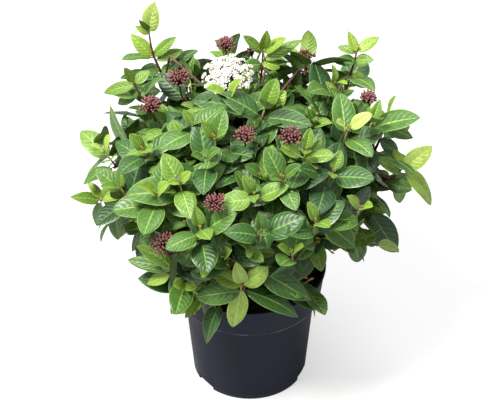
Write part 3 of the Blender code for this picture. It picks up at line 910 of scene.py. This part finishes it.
def petal_material(name, middle, edge):
    """Thin floral tissue."""
    material, tree, shader = principled(name)
    values = {"Middle": linear(middle), "Edge": linear(edge)}
    plug(tree, shader, {
        "Base Color": placed(tree, petal_group(), values)["Colour"],
        "Roughness": 0.55,
    })
    return material


# The pot
def pot_profile():
    """The pot's section with its edges rounded: up the outside, over the rim and down the inside."""
    collar_foot = POT_HEIGHT - COLLAR_HEIGHT
    bead_foot = POT_HEIGHT - RIM_BEAD_HEIGHT
    upper = RIM_RADIUS - RIM_BEAD
    shoulder = collar_foot + WALL
    gusset = BODY_FOOT_RADIUS - WALL - FLOOR_GUSSET
    corners = (
        (BODY_FOOT_RADIUS, 0.0, FOOT_ROUNDING),
        (BODY_TOP_RADIUS, collar_foot, 0.0006),
        (COLLAR_FOOT_RADIUS, collar_foot, 0.0007),
        (upper, bead_foot, 0.0008),
        (RIM_RADIUS, bead_foot + RIM_BEAD, 0.0008),
        (RIM_RADIUS, POT_HEIGHT, RIM_BEAD),
        (RIM_RADIUS - RIM_BEAD - WALL, POT_HEIGHT, 0.0005),
        (upper - WALL, bead_foot, 0.0008),
        (COLLAR_FOOT_RADIUS - WALL, shoulder, 0.0005),
        (BODY_TOP_RADIUS - WALL, shoulder, 0.0005),
        (BODY_FOOT_RADIUS - WALL, FLOOR + FLOOR_GUSSET, 0.0010),
        (gusset, FLOOR, 0.0010),
    )
    ends = [(0.0, 0.0, 0.0), *corners, (0.0, FLOOR, 0.0)]
    profile = [np.array((0.0, 0.0)), np.array((0.03, 0.0)), np.array((0.055, 0.0))]
    for before, here, after in zip(ends, ends[1:], ends[2:]):
        corner = np.array(here[:2])
        back = np.array(before[:2]) - corner
        forth = np.array(after[:2]) - corner
        reach = min(here[2], 0.45 * np.linalg.norm(back), 0.45 * np.linalg.norm(forth))
        first, last = corner + unit(back) * reach, corner + unit(forth) * reach
        for t in (0.0, 0.33, 0.67, 1.0):
            profile.append((1 - t) ** 2 * first + 2 * t * (1 - t) * corner + t * t * last)
    profile += [np.array((0.035, FLOOR)), np.array((0.0, FLOOR))]
    return profile


def turned(name, profile, segments):
    """A closed mesh turned about the upright axis from a section that starts and ends on it."""
    builder = bmesh.new()
    rings = []
    for radius, height in profile[1:-1]:
        ring = []
        for index in range(segments):
            turn = 2 * math.pi * index / segments
            ring.append(builder.verts.new((radius * math.cos(turn), radius * math.sin(turn), height)))
        rings.append(ring)
    for lower, upper in zip(rings, rings[1:]):
        for index in range(segments):
            after = (index + 1) % segments
            builder.faces.new((lower[index], lower[after], upper[after], upper[index]))
    for end, ring, flip in ((profile[0], rings[0], True), (profile[-1], rings[-1], False)):
        middle = builder.verts.new((0, 0, end[1]))
        for index in range(segments):
            pair = (ring[index], ring[(index + 1) % segments])
            builder.faces.new((middle, pair[1], pair[0]) if flip else (middle, *pair))
    bmesh.ops.recalc_face_normals(builder, faces=builder.faces)
    if builder.calc_volume(signed=True) < 0:
        bmesh.ops.reverse_faces(builder, faces=builder.faces)
    return from_builder(name, builder)


def cut_out(thing, builder):
    """Takes a filled bmesh out of an object at once, leaving no guide behind."""
    bmesh.ops.recalc_face_normals(builder, faces=builder.faces)
    cutter = from_builder("cutter", builder)
    modifier = thing.modifiers.new("cut", "BOOLEAN")
    modifier.operation = "DIFFERENCE"
    modifier.solver = "EXACT"
    modifier.object = cutter
    graph = bpy.context.evaluated_depsgraph_get()
    result = bpy.data.meshes.new_from_object(thing.evaluated_get(graph))
    thing.modifiers.clear()
    spent = (thing.data, cutter.data)
    thing.data = result
    bpy.data.objects.remove(cutter, do_unlink=True)
    for mesh in spent:
        bpy.data.meshes.remove(mesh)


def make_pot():
    """The thin-walled pot, a little out of round at its rim."""
    pot = turned("pot_shell", pot_profile(), POT_SEGMENTS)
    cutters = bmesh.new()
    for number in range(NOTCH_COUNT):
        turn = math.radians(NOTCH_FIRST_AZIMUTH + 360 * number / NOTCH_COUNT)
        length = 2 * NOTCH_DEPTH + FOOT_ROUNDING
        middle = BODY_FOOT_RADIUS - NOTCH_DEPTH + length / 2
        place = Matrix.Rotation(turn, 4, "Z") @ Matrix.Translation((middle, 0, 0))
        size = Matrix.Diagonal((length, NOTCH_WIDTH, 2 * NOTCH_HEIGHT, 1.0))
        bmesh.ops.create_cube(cutters, size=1.0, matrix=place @ size)
    for number in range(HOLE_COUNT):
        turn = math.radians(NOTCH_FIRST_AZIMUTH + HOLE_TURN + 360 * number / HOLE_COUNT)
        place = Matrix.Translation((HOLE_RING_RADIUS * math.cos(turn), HOLE_RING_RADIUS * math.sin(turn), 0))
        bmesh.ops.create_cone(
            cutters, cap_ends=True, segments=HOLE_SEGMENTS, radius1=HOLE_RADIUS, radius2=HOLE_RADIUS,
            depth=4 * FLOOR, matrix=place
        )
    cut_out(pot, cutters)
    for vertex in pot.data.vertices:
        x, y, z = vertex.co
        turn = math.atan2(y, x)
        share = (z / POT_HEIGHT) ** 2
        out = OUT_OF_ROUND * share * (math.sin(2 * turn + 0.7) + 0.6 * math.sin(5 * turn))
        radius = math.hypot(x, y)
        if radius > 0.5 * BODY_FOOT_RADIUS:
            vertex.co.x += x / radius * out
            vertex.co.y += y / radius * out
    pot.data.shade_smooth()
    pot.data.set_sharp_from_angle(angle=math.radians(SHARP_DEGREES))
    pot.data.materials.clear()
    pot.data.materials.append(pot_material())
    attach(pot, "root")
    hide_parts("nursery_pot")


# Peat
def make_peat(rng):
    """The root ball with a crumbly top, and loose crumbs on it."""
    material = peat_material()
    top = COLLAR_FOOT_RADIUS - WALL - 2 * GAP
    shoulder = POT_HEIGHT - COLLAR_HEIGHT + WALL + GAP
    inner = BODY_TOP_RADIUS - WALL - GAP
    foot = BODY_FOOT_RADIUS - WALL - 2 * GAP
    profile = [(0.0, FLOOR + GAP), (BODY_FOOT_RADIUS - WALL - FLOOR_GUSSET - GAP, FLOOR + GAP)]
    profile += [(foot, FLOOR + FLOOR_GUSSET + GAP), (inner, shoulder), (top, shoulder), (top, GROUND - 0.002)]
    profile += [(top * (1 - (k + 0.5) / PEAT_RINGS), GROUND) for k in range(PEAT_RINGS)]
    profile.append((0.0, GROUND))
    ball = turned("peat_ball", profile, PEAT_SEGMENTS)
    for vertex in ball.data.vertices:
        radius = vertex.co.xy.length
        if vertex.co.z > GROUND - 0.001:
            near = Vector((vertex.co.x, vertex.co.y, 0.0))
            rough = noise.fractal(near * 130, 0.9, 2.1, 4) * 0.0016 + noise.noise(near * 45) * 0.0016
            edge = min(1.0, (top - radius) / 0.01)
            calm = min(1.0, max(0.0, (radius - 0.018) / 0.012))
            vertex.co.z += max(min((rough - 0.0006) * calm, 0.0030), -0.0034) - 0.0012 * (1 - edge)
    ball.data.shade_smooth()
    ball.data.materials.append(material)
    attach(ball, "root")
    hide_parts("root_ball")
    crumbs = bmesh.new()
    for _ in range(CRUMB_COUNT):
        radius = (top - 0.003) * math.sqrt(rng.uniform(0.05, 1.0))
        turn = rng.uniform(0, 2 * math.pi)
        size = 0.0007 + 0.0022 * rng.uniform() ** 2.5
        spot = Vector((radius * math.cos(turn), radius * math.sin(turn), GROUND + size * 0.25))
        shape = Matrix.Diagonal((*[size * rng.uniform(0.6, 1.3) for _ in range(3)], 1.0))
        spin = Matrix.Rotation(rng.uniform(0, 6.28), 4, "Z") @ Matrix.Rotation(rng.uniform(-0.6, 0.6), 4, "X")
        made = bmesh.ops.create_icosphere(crumbs, subdivisions=2, radius=1.0, matrix=Matrix.Identity(4))
        for vertex in made["verts"]:
            lump = 1 + 0.35 * noise.noise(vertex.co * 1.7 + Vector((spot.x, spot.y, 0)) * 900)
            vertex.co = Matrix.Translation(spot) @ spin @ shape @ (vertex.co * lump)
    loose = from_builder("peat_crumbs", crumbs)
    loose.data.shade_smooth()
    loose.data.materials.append(material)
    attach(loose, "root")


# Stem and boughs
def stem_centre(share):
    """The stem's axis at a share of its height above the peat."""
    return np.array((0.0, 0.0, GROUND + GAP)) + STEM_LEAN * share


def stem_radius(share):
    """The stem's radius: flared at the foot, tapering, swollen at the fork."""
    fork = math.exp(-((share - 0.82) / 0.14) ** 2)
    taper = STEM_RADIUS * (1 - (1 - STEM_TOP_SHARE) * share)
    return STEM_FLARE * (1 - share) ** 4 + taper + 0.12 * STEM_RADIUS * fork


def bough_end(name, fork):
    """The middle of a packed bough's far end."""
    points = np.array([vertex.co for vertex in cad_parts[name].data.vertices])
    reach = np.linalg.norm(points - fork, axis=1)
    return points[reach > reach.max() - 0.002].mean(0)


def bough_lines():
    """The boughs' centre lines, from the stem to the clumps that they carry."""
    lines = []
    for number, share in enumerate(BOUGH_FORKS):
        fork = stem_centre(share)
        if share > 0.9:
            turn = math.radians(120.0 * number)
            fork = fork + TOP_FORK_OFFSET * np.array((math.cos(turn), math.sin(turn), 0.0))
        end = bough_end(f"bough_{number + 1}", fork)
        run = end - fork
        bend = fork + run * np.array((BOUGH_SPREAD, BOUGH_SPREAD, BOUGH_RISE))
        t = np.linspace(0, 1, BOUGH_POINTS)[:, None]
        lines.append(fork * (1 - t) ** 2 + bend * 2 * t * (1 - t) + end * t ** 2)
    return lines


def limb_mesh(builder, line, radii, sides, relief):
    """A closed limb whose surface has ridges and knots."""
    rings = []
    for k, ((centre, across, other), radius) in enumerate(zip(frames_along(line, LIMB_HELPERS), radii)):
        ring = []
        for j in range(sides):
            turn = 2 * math.pi * j / sides
            out = across * math.cos(turn) + other * math.sin(turn)
            spot = centre + out * radius
            round_it = (math.cos(turn) * 2.2, math.sin(turn) * 2.2, k * 0.35 + line[0][0] * 300)
            ridge = noise.noise(Vector(round_it))
            knot = noise.noise(Vector(spot * 260))
            ring.append(builder.verts.new(spot + out * radius * relief * (0.7 * ridge + 0.6 * knot)))
        rings.append(ring)
    for lower, upper in zip(rings, rings[1:]):
        for j in range(sides):
            after = (j + 1) % sides
            builder.faces.new((lower[j], lower[after], upper[after], upper[j]))
    builder.faces.new(list(reversed(rings[0])))
    builder.faces.new(rings[-1])


def make_bark(lines):
    """The stem and boughs in relief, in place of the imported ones."""
    builder = bmesh.new()
    shares = np.linspace(0, 1, STEM_RINGS)
    centres = [stem_centre(share) for share in shares]
    limb_mesh(builder, centres, [stem_radius(share) for share in shares], STEM_SIDES, STEM_RELIEF)
    stations = np.linspace(0, BOUGH_POINTS - 1, BOUGH_RINGS)
    radii = np.linspace(BOUGH_FOOT_RADIUS, BOUGH_TIP_RADIUS, BOUGH_RINGS)
    for line in lines:
        fine = np.array([np.interp(stations, np.arange(BOUGH_POINTS), line[:, k]) for k in range(3)]).T
        limb_mesh(builder, fine, radii, BOUGH_SIDES, BOUGH_RELIEF)
    bmesh.ops.recalc_face_normals(builder, faces=builder.faces)
    limbs = from_builder("bark_limbs", builder)
    limbs.data.shade_smooth()
    limbs.data.materials.append(bark_material())
    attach(limbs, "root")
    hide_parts("main_stem", *[f"bough_{number + 1}" for number in range(len(lines))])


# Crown
class Clump:
    """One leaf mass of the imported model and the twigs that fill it."""

    def __init__(self, name):
        self.name = name
        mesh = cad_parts[name].data
        mesh.calc_loop_triangles()
        points = np.array([vertex.co for vertex in mesh.vertices])
        self.corners = points[np.array([tri.vertices for tri in mesh.loop_triangles])]
        cross = np.cross(self.corners[:, 1] - self.corners[:, 0], self.corners[:, 2] - self.corners[:, 0])
        self.areas = np.linalg.norm(cross, axis=1) / 2
        self.normals = cross / np.maximum(2 * self.areas[:, None], 1e-12)
        self.centre = (self.corners.mean(1) * self.areas[:, None]).sum(0) / self.areas.sum()
        self.hub = None
        self.spots = []


def clump_names():
    """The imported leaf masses."""
    return sorted(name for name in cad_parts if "clump" in name or name.endswith("_shoot"))


def tier_of(name):
    """The part of the crown that a packed leaf mass belongs to."""
    return name.split("_")[0] if "clump" in name else "shoot"


def nearest(clumps, point):
    """The leaf mass whose centre is nearest to a point."""
    return min(clumps, key=lambda clump: np.linalg.norm(clump.centre - point))


def all_faces(clumps):
    """Every clump's faces in one search tree."""
    corners = np.concatenate([clump.corners for clump in clumps])
    faces = np.arange(len(corners) * 3).reshape(-1, 3)
    return BVHTree.FromPolygons([tuple(p) for p in corners.reshape(-1, 3)], faces.tolist())


def surface_tips(clumps, spacing, rng):
    """Places for shoot tips spread evenly over the crown's open surface."""
    tree = all_faces(clumps)
    kept = []
    for clump in clumps:
        count = int(clump.areas.sum() / spacing ** 2 * 5)
        picks = rng.choice(len(clump.areas), count, p=clump.areas / clump.areas.sum())
        for pick in picks:
            a, b = rng.uniform(size=2)
            if a + b > 1:
                a, b = 1 - a, 1 - b
            first, second, third = clump.corners[pick]
            spot = first + (second - first) * a + (third - first) * b
            normal = clump.normals[pick]
            outward = unit(spot - CORE)
            if normal @ outward < -0.05:
                continue
            if tree.ray_cast(Vector(spot + normal * 0.0015), Vector(normal), COVER_REACH)[0] is not None:
                continue
            if kept and min(np.linalg.norm(np.array([k[0] for k in kept]) - spot, axis=1)) < spacing:
                continue
            kept.append((spot, normal, clump))
    return kept


class Crown:
    """Collects the crown's leaves, twigs, buds and flowers."""

    def __init__(self, rng):
        self.rng = rng
        self.leaves = {}
        self.twigs, self.buds, self.heads = Strands(), Strands(), Strands()

    def leaf_store(self, clump):
        """The joined leaves of the part of the crown that a clump belongs to."""
        return self.leaves.setdefault(tier_of(clump.name), Leaves())

    def petiole(self, joint, base, tint):
        """A leaf's short stalk, green under a young leaf."""
        middle = (joint + base) / 2 - UP * 0.0006
        line = [joint, middle, base + (base - middle) * 0.25]
        slot = GREEN_STALK if tint >= FRESH else RED_TWIG
        self.twigs.tube(line, [PETIOLE_RADIUS, PETIOLE_RADIUS * 0.75], 5, slot)

    def pair(self, clump, joint, axis, turn, length, spread, tint, fold=0.32, arch=0.5, fine=True):
        """Two opposite leaves at a joint of a shoot."""
        rng = self.rng
        store = self.leaf_store(clump)
        across, other = axes_round(axis, LEAF_HELPERS)
        for half_turn in (0.0, math.pi):
            angle = turn + half_turn + rng.normal(0, 0.14)
            out = across * math.cos(angle) + other * math.sin(angle)
            opening = spread + rng.normal(0, 0.12)
            run = unit(axis * math.cos(opening) + out * math.sin(opening) - UP * 0.10)
            upper = unit(axis * math.sin(opening) - out * math.cos(opening) + UP * 0.25)
            size = length * rng.uniform(0.85, 1.12)
            base = joint + run * min(0.006, size * 0.14)
            tip = joint + run * size
            width = size * rng.uniform(*LEAF_RATIO)
            if in_open_place(tip) or in_open_place((base + tip) / 2):
                continue
            store.add(base, tip, upper, width, tint, rng, fold, arch, fine)
            self.petiole(joint, base, tint)

    def shoot(self, clump, apex, axis, vigour, fresh=0.6, tint=None):
        """A leafy shoot below its tip, returning where its twig carries on."""
        rng = self.rng
        turn = rng.uniform(0, math.pi)
        young = LIME if rng.uniform() < fresh * 0.5 else FRESH
        young = young if tint is None else tint
        length, opening = rng.uniform(*YOUNG_LENGTH), rng.uniform(*YOUNG_OPENING)
        plan = [(YOUNG_BELOW, length, opening, young if rng.uniform() < fresh else FULL)]
        for below, length, opening, tints in OLDER_PAIRS:
            plan.append((rng.uniform(*below), rng.uniform(*length), rng.uniform(*opening), rng.choice(tints)))
        for number, (below, length, opening, shade) in enumerate(plan):
            joint = apex - axis * below * vigour
            quarter = turn + number * math.pi / 2
            fold = 0.5 if number == 0 else 0.3
            self.pair(clump, joint, axis, quarter, length * vigour, opening, int(shade), fold, 0.45)
        self.terminal_bud(apex, axis)
        return apex - axis * plan[-1][0] * vigour

    def terminal_bud(self, apex, axis):
        """The two folded young leaves at a shoot's tip."""
        across = axes_round(axis, LEAF_HELPERS)[0]
        for side in (-1, 1):
            lean = unit(axis + across * side * 0.22 * self.rng.uniform(0.6, 1.4))
            size = self.rng.uniform(0.003, 0.0052)
            self.buds.blob(apex + lean * size * 0.8, lean, size, size * 0.30, 0)

    def twig(self, start, start_run, end, end_run, radii, slot):
        """A twig between two places, returning its line."""
        span = np.linalg.norm(end - start)
        line = bezier(start, start_run * span * 0.35, end, end_run * span * 0.35, 8)
        self.twigs.tube(line, radii, 6, slot)
        return line


def flower_cluster(crown, seat, axis, width, open_share):
    """A domed head of stalked plum buds, or of open white flowers with buds round its edge."""
    rng = crown.rng
    axis = unit(axis)
    foot = seat - axis * HEAD_STALK
    neck = seat - axis * HEAD_NECK
    crown.twigs.tube([foot, neck], [0.0013, 0.0011], 6, RED_TWIG)
    across, other = axes_round(axis, FLOWER_HELPERS)
    half = width / 2
    count = int(FULL_COUNT + OPEN_COUNT * open_share) if width > SMALL_HEAD else SMALL_COUNT
    for number in range(count):
        share = math.sqrt((number + 0.5) / count)
        angle = number * GOLDEN_TURN + rng.normal(0, 0.12)
        out = across * math.cos(angle) + other * math.sin(angle)
        rise = half * (0.50 * (1 - share ** 2) + rng.normal(0, 0.06))
        spot = seat + out * half * share * rng.uniform(0.92, 1.06) + axis * rise
        fork = neck + (spot - seat) * 0.25
        lean = unit(out * share * 0.8 + axis)
        crown.twigs.tube([fork, (fork + spot) / 2 + axis * 0.001, spot], [0.0006, 0.0004], 4, RED_TWIG)
        if rng.uniform() < open_share * (1.15 - 0.35 * share ** 4):
            facing = lean + rng.normal(0, 0.15, 3)
            crown.heads.floret(spot + lean * 0.001, facing, rng.uniform(0.0031, 0.0037), angle, PETAL)
            crown.heads.blob(spot + lean * 0.0012, lean, 0.0009, 0.0005, ANTHER, 3, 5)
        else:
            size = rng.uniform(0.0015, 0.0023)
            slot = PLUM if open_share < 0.5 else BLUSH
            crown.heads.blob(spot, lean, size, size * 0.72, slot, 4, 7, 0.2)
    return foot


def named_shoot(crown, clump):
    """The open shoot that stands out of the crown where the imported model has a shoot."""
    rng = crown.rng
    points = clump.corners.reshape(-1, 3)
    reach = np.linalg.norm(points - CORE, axis=1)
    foot = points[reach < np.quantile(reach, 0.12)].mean(0)
    tip = points[np.argmax(reach)]
    run = unit(tip - foot)
    bow = np.linalg.norm(tip - foot) * 0.3
    leave, arrive = unit(run - UP * 0.3), unit(run + UP * 0.35)
    line = bezier(foot, leave * bow, tip - run * 0.024, arrive * bow, STEM_POINTS)
    crown.twigs.tube(line, [0.0016, 0.0009], 7, RED_TWIG)
    turn = rng.uniform(0, math.pi)
    pairs = [
        (point, rng.uniform(*lengths), opening, first if rng.uniform() < chance else second)
        for point, lengths, opening, chance, first, second in OPEN_SHOOT_PAIRS
    ]
    for number, (point, length, opening, tint) in enumerate(pairs):
        along = unit(line[min(point + 1, STEM_POINTS - 1)] - line[point - 1])
        quarter = turn + number * math.pi / 2
        fold = 0.45 if number < 2 else 0.3
        crown.pair(clump, line[point], along, quarter, length, opening, tint, fold)
    crown.terminal_bud(line[-1], unit(line[-1] - line[-2]))
    return foot, clump, -run


def drawn_shoot(crown, clump):
    """A shoot whose stem and leaves are placed one by one in the photograph's pixels."""
    rng = crown.rng
    y, stem, blades = DRAWN_SHOOTS[clump.name]
    line = [at_depth_y(px, py, y) for px, py in stem]
    crown.twigs.tube(line, [0.0010, 0.0018], 7, RED_TWIG)
    facing = -AHEAD * 0.75 + UP * 0.35
    for base_x, base_y, tip_x, tip_y, width, tint in blades:
        base = at_depth_y(base_x, base_y, y)
        tip = at_depth_y(tip_x, tip_y, y + rng.uniform(-0.014, 0.014))
        joint = line[np.argmin(np.linalg.norm(np.array(line) - base, axis=1))]
        size = width * depth_of(base) / FOCAL_PIXELS
        normal = unit(facing + rng.normal(0, 0.20, 3))
        crown.leaf_store(clump).add(base, tip, normal, size * 1.08, tint, rng, 0.30, 0.35)
        crown.petiole(joint, base, tint)
    run = unit(line[0] - line[-1])
    crown.terminal_bud(line[0], run)
    crown.pair(clump, line[len(line) // 2], run, rng.uniform(0, math.pi), 0.046, 1.2, FULL)
    crown.pair(clump, line[-1], run, rng.uniform(0, math.pi), 0.056, 1.25, MATURE)
    return line[-1], clump, run


def seen_shoots(crown, clumps):
    """The flower head, bud clusters and bright rosettes at their pixels, and what they keep clear."""
    rng = crown.rng
    tips, kept_clear = [], []
    pixel = CAMERA_DISTANCE / FOCAL_PIXELS
    for group, open_share in ((FLOWER_PIXELS, FLOWERS_OPEN), (BUD_PIXELS, 0.0)):
        for px, py, width in group:
            seat = on_crown(px, py + 3, 0.006)
            axis = unit(-AHEAD * 0.55 + UP * 0.75 + unit(seat - CORE) * 0.3)
            foot = flower_cluster(crown, seat, axis, width * pixel * 1.05, open_share)
            tips.append((foot, nearest(clumps, foot), axis))
            kept_clear.append((px, py, width / 2 + CLUSTER_CLEARANCE))
    for px, py, tint in ROSETTE_PIXELS:
        apex = on_crown(px, py)
        axis = unit(-AHEAD * 0.40 + UP * 0.70 + unit(apex - CORE) * 0.45 + rng.normal(0, 0.10, 3))
        clump = nearest(clumps, apex)
        foot = crown.shoot(clump, apex, axis, rng.uniform(0.95, 1.08), 1.0, tint)
        crown.twigs.tube([foot, apex], [0.0013, 0.0009], 6, GREEN_STALK)
        tips.append((foot, clump, axis))
        kept_clear.append((px, py, ROSETTE_CLEARANCE))
    return tips, kept_clear


def surface_shoots(crown, masses, kept_clear):
    """Shoots over the crown's open surface, with bud clusters on its back."""
    rng = crown.rng
    tips, clusters = [], 0
    for spot, normal, clump in surface_tips(masses, TIP_SPACING, rng):
        outward = unit(spot - CORE)
        facing = -AHEAD @ normal
        if facing > 0.0 and within_any(*pixel_of(spot), kept_clear):
            continue
        if outward[1] > BACK_TURNED and clusters < BACK_CLUSTERS and rng.uniform() < BACK_CLUSTER_CHANCE:
            lean = unit(outward + UP * 0.8)
            foot = flower_cluster(crown, spot - normal * 0.004, lean, BACK_CLUSTER_WIDTH, 0.0)
            tips.append((foot, clump, lean))
            clusters += 1
            continue
        axis = unit(normal * 0.55 + UP * 0.55 + outward * 0.45 + rng.normal(0, 0.12, 3))
        depth = 0.014 + (0.012 if facing > 0.2 else 0.0) + rng.uniform(0, 0.006)
        apex = spot - normal * depth
        foot = crown.shoot(clump, apex, axis, rng.uniform(0.85, 1.05))
        crown.twigs.tube([foot, apex], [0.0011, 0.0008], 6, GREEN_STALK)
        tips.append((foot, clump, axis))
    return tips


def grow(crown, clumps, lines, tips):
    """Twigs from the boughs out to every shoot, with older leaves along them."""
    rng = crown.rng
    ends = [line[-1] for line in lines]
    bough_points = np.concatenate([line[5:] for line in lines])
    for clump in clumps:
        start, share = min(ends, key=lambda end: np.linalg.norm(end - clump.centre)), 0.75
        if np.linalg.norm(start - clump.centre) >= 0.05:
            reach = np.linalg.norm(bough_points - clump.centre, axis=1)
            reach = reach + BOUGH_CHOICE * rng.uniform(size=len(bough_points))
            start, share = bough_points[np.argmin(reach)], 0.85
        clump.hub = start + (clump.centre - start) * share
        run = unit(clump.centre - start)
        line = crown.twig(start, run, clump.hub, run, (0.0019, 0.0015), OLD_TWIG)
        clump.spots = list(line[3:])
    for spot, clump, axis in sorted(tips, key=lambda tip: np.linalg.norm(tip[0] - tip[1].hub)):
        places = np.array(clump.spots)
        cost = np.linalg.norm(places - spot, axis=1) + 0.45 * np.linalg.norm(places - clump.hub, axis=1)
        start = places[np.argmin(cost)]
        run = unit(spot - start)
        line = crown.twig(start, unit(run + axis * 0.2), spot, axis, (0.0014, 0.0011), RED_TWIG)
        clump.spots += list(line[2:6])
        length = np.linalg.norm(spot - start)
        if length <= 0.035:
            continue
        for share in np.arange(0.03, length - 0.012, 0.030) / length:
            station = min(int(share * 7), 6)
            along = unit(line[station + 1] - line[station])
            turn, size = rng.uniform(0, math.pi), rng.uniform(0.048, 0.060)
            opening, tint = rng.uniform(1.0, 1.4), int(rng.choice((DEEP, DARK)))
            crown.pair(clump, line[station], along, turn, size, opening, tint, 0.25, 0.4, fine=False)


def make_leaves(crown):
    """The leaves of each tier of the crown, in place of its packed masses."""
    materials = [leaf_material(index) for index in range(len(LEAF_TINTS))]
    tiers = {}
    for name in clump_names():
        tiers.setdefault(tier_of(name), []).append(name)
    for key, names in tiers.items():
        piece = crown.leaves[key].build(f"{key}_leaves", materials)
        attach(piece, "root")
        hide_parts(*names)


def make_twigs(crown):
    """Twigs and stalks."""
    piece = crown.twigs.build("twigs", [
        strand_material("twig_bark", (72, 34, 34), (112, 62, 50), 0.6),
        strand_material("green_stalk", (120, 140, 60), (160, 176, 84), 0.5),
        strand_material("old_twig", (70, 52, 42), (120, 96, 76), 0.75),
    ])
    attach(piece, "root")


def make_heads(crown):
    """The flower head and bud clusters."""
    piece = crown.heads.build("flower_heads", [
        petal_material("white_petal", (196, 196, 172), (236, 236, 230)),
        petal_material("plum_bud", (88, 46, 50), (142, 90, 90)),
        petal_material("cream_anther", (214, 196, 130), (236, 224, 176)),
        petal_material("blush_bud", (214, 170, 176), (244, 226, 224)),
    ])
    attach(piece, "root")


def make_buds(crown):
    """The buds at the shoots' tips."""
    bud = strand_material("terminal_bud", (150, 120, 60), (190, 160, 84), 0.5)
    piece = crown.buds.build("terminal_buds", [bud])
    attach(piece, "root")


def make_crown():
    """The whole crown, joined into a few pieces."""
    clumps = [Clump(name) for name in clump_names()]
    lines = bough_lines()
    make_bark(lines)
    crown = Crown(np.random.default_rng(SEED))
    tips, kept_clear = seen_shoots(crown, clumps)
    kept_clear += [(*stem[0], DRAWN_CLEARANCE) for _, stem, _ in DRAWN_SHOOTS.values()]
    kept_clear += FRONT_CLEAR_PIXELS
    for clump in clumps:
        if clump.name in DRAWN_SHOOTS:
            tips.append(drawn_shoot(crown, clump))
        elif clump.name.endswith("_shoot"):
            tips.append(named_shoot(crown, clump))
    masses = [clump for clump in clumps if not clump.name.endswith("_shoot")]
    tips += surface_shoots(crown, masses, kept_clear)
    grow(crown, clumps, lines, tips)
    make_leaves(crown)
    make_twigs(crown)
    make_heads(crown)
    make_buds(crown)


def make_camera():
    """The camera at the photograph's viewing angle."""
    data = bpy.data.cameras.new("camera")
    data.lens = LENS
    data.sensor_width = SENSOR
    camera = linked("camera", data)
    camera.location = EYE
    camera.rotation_euler = (math.radians(90 - CAMERA_PITCH), 0, 0)
    bpy.context.scene.camera = camera


def area_light(name, place, aim, size, power, colour):
    """A large soft light aimed at a point."""
    data = bpy.data.lights.new(name, "AREA")
    data.shape = "DISK"
    data.size = size
    data.energy = power
    data.color = colour
    lamp = linked(name, data)
    lamp.location = place
    lamp.rotation_euler = (Vector(aim) - Vector(place)).to_track_quat("-Z", "Y").to_euler()


def camera_boost(tree, added, level):
    """A strength that is greater where the camera itself looks."""
    seen = node(tree, "ShaderNodeLightPath").outputs["Is Camera Ray"]
    return maths(tree, "MULTIPLY_ADD", seen, added, level)


def make_studio():
    """A plain pale floor, an even pale surround and soft lights."""
    mesh = bpy.data.meshes.new("floor")
    corners = [(-1, -1), (1, -1), (1, 1), (-1, 1)]
    mesh.from_pydata([(x * FLOOR_REACH, y * FLOOR_REACH, 0) for x, y in corners], [], [(0, 1, 2, 3)])
    floor = linked("floor", mesh)
    material, tree, shader = principled("floor_paper")
    plug(tree, shader, {
        "Base Color": (FLOOR_GREY, FLOOR_GREY, FLOOR_GREY, 1),
        "Roughness": 0.9,
        "Specular IOR Level": 0.1,
        "Emission Color": (1, 1, 1, 1),
        "Emission Strength": camera_boost(tree, *FLOOR_GLOW),
    })
    mesh.materials.append(material)
    world = bpy.data.worlds.new("studio")
    bpy.context.scene.world = world
    world.use_nodes = True
    sky = world.node_tree
    strength = camera_boost(sky, *SURROUND)
    plug(sky, sky.nodes["Background"], {"Color": (1.0, 1.0, 1.0, 1), "Strength": strength})
    for lamp in LAMPS:
        area_light(*lamp)
    bpy.context.scene.view_settings.view_transform = "Standard"


make_camera()
make_studio()
make_pot()
make_peat(np.random.default_rng(SEED + 1))
make_crown()
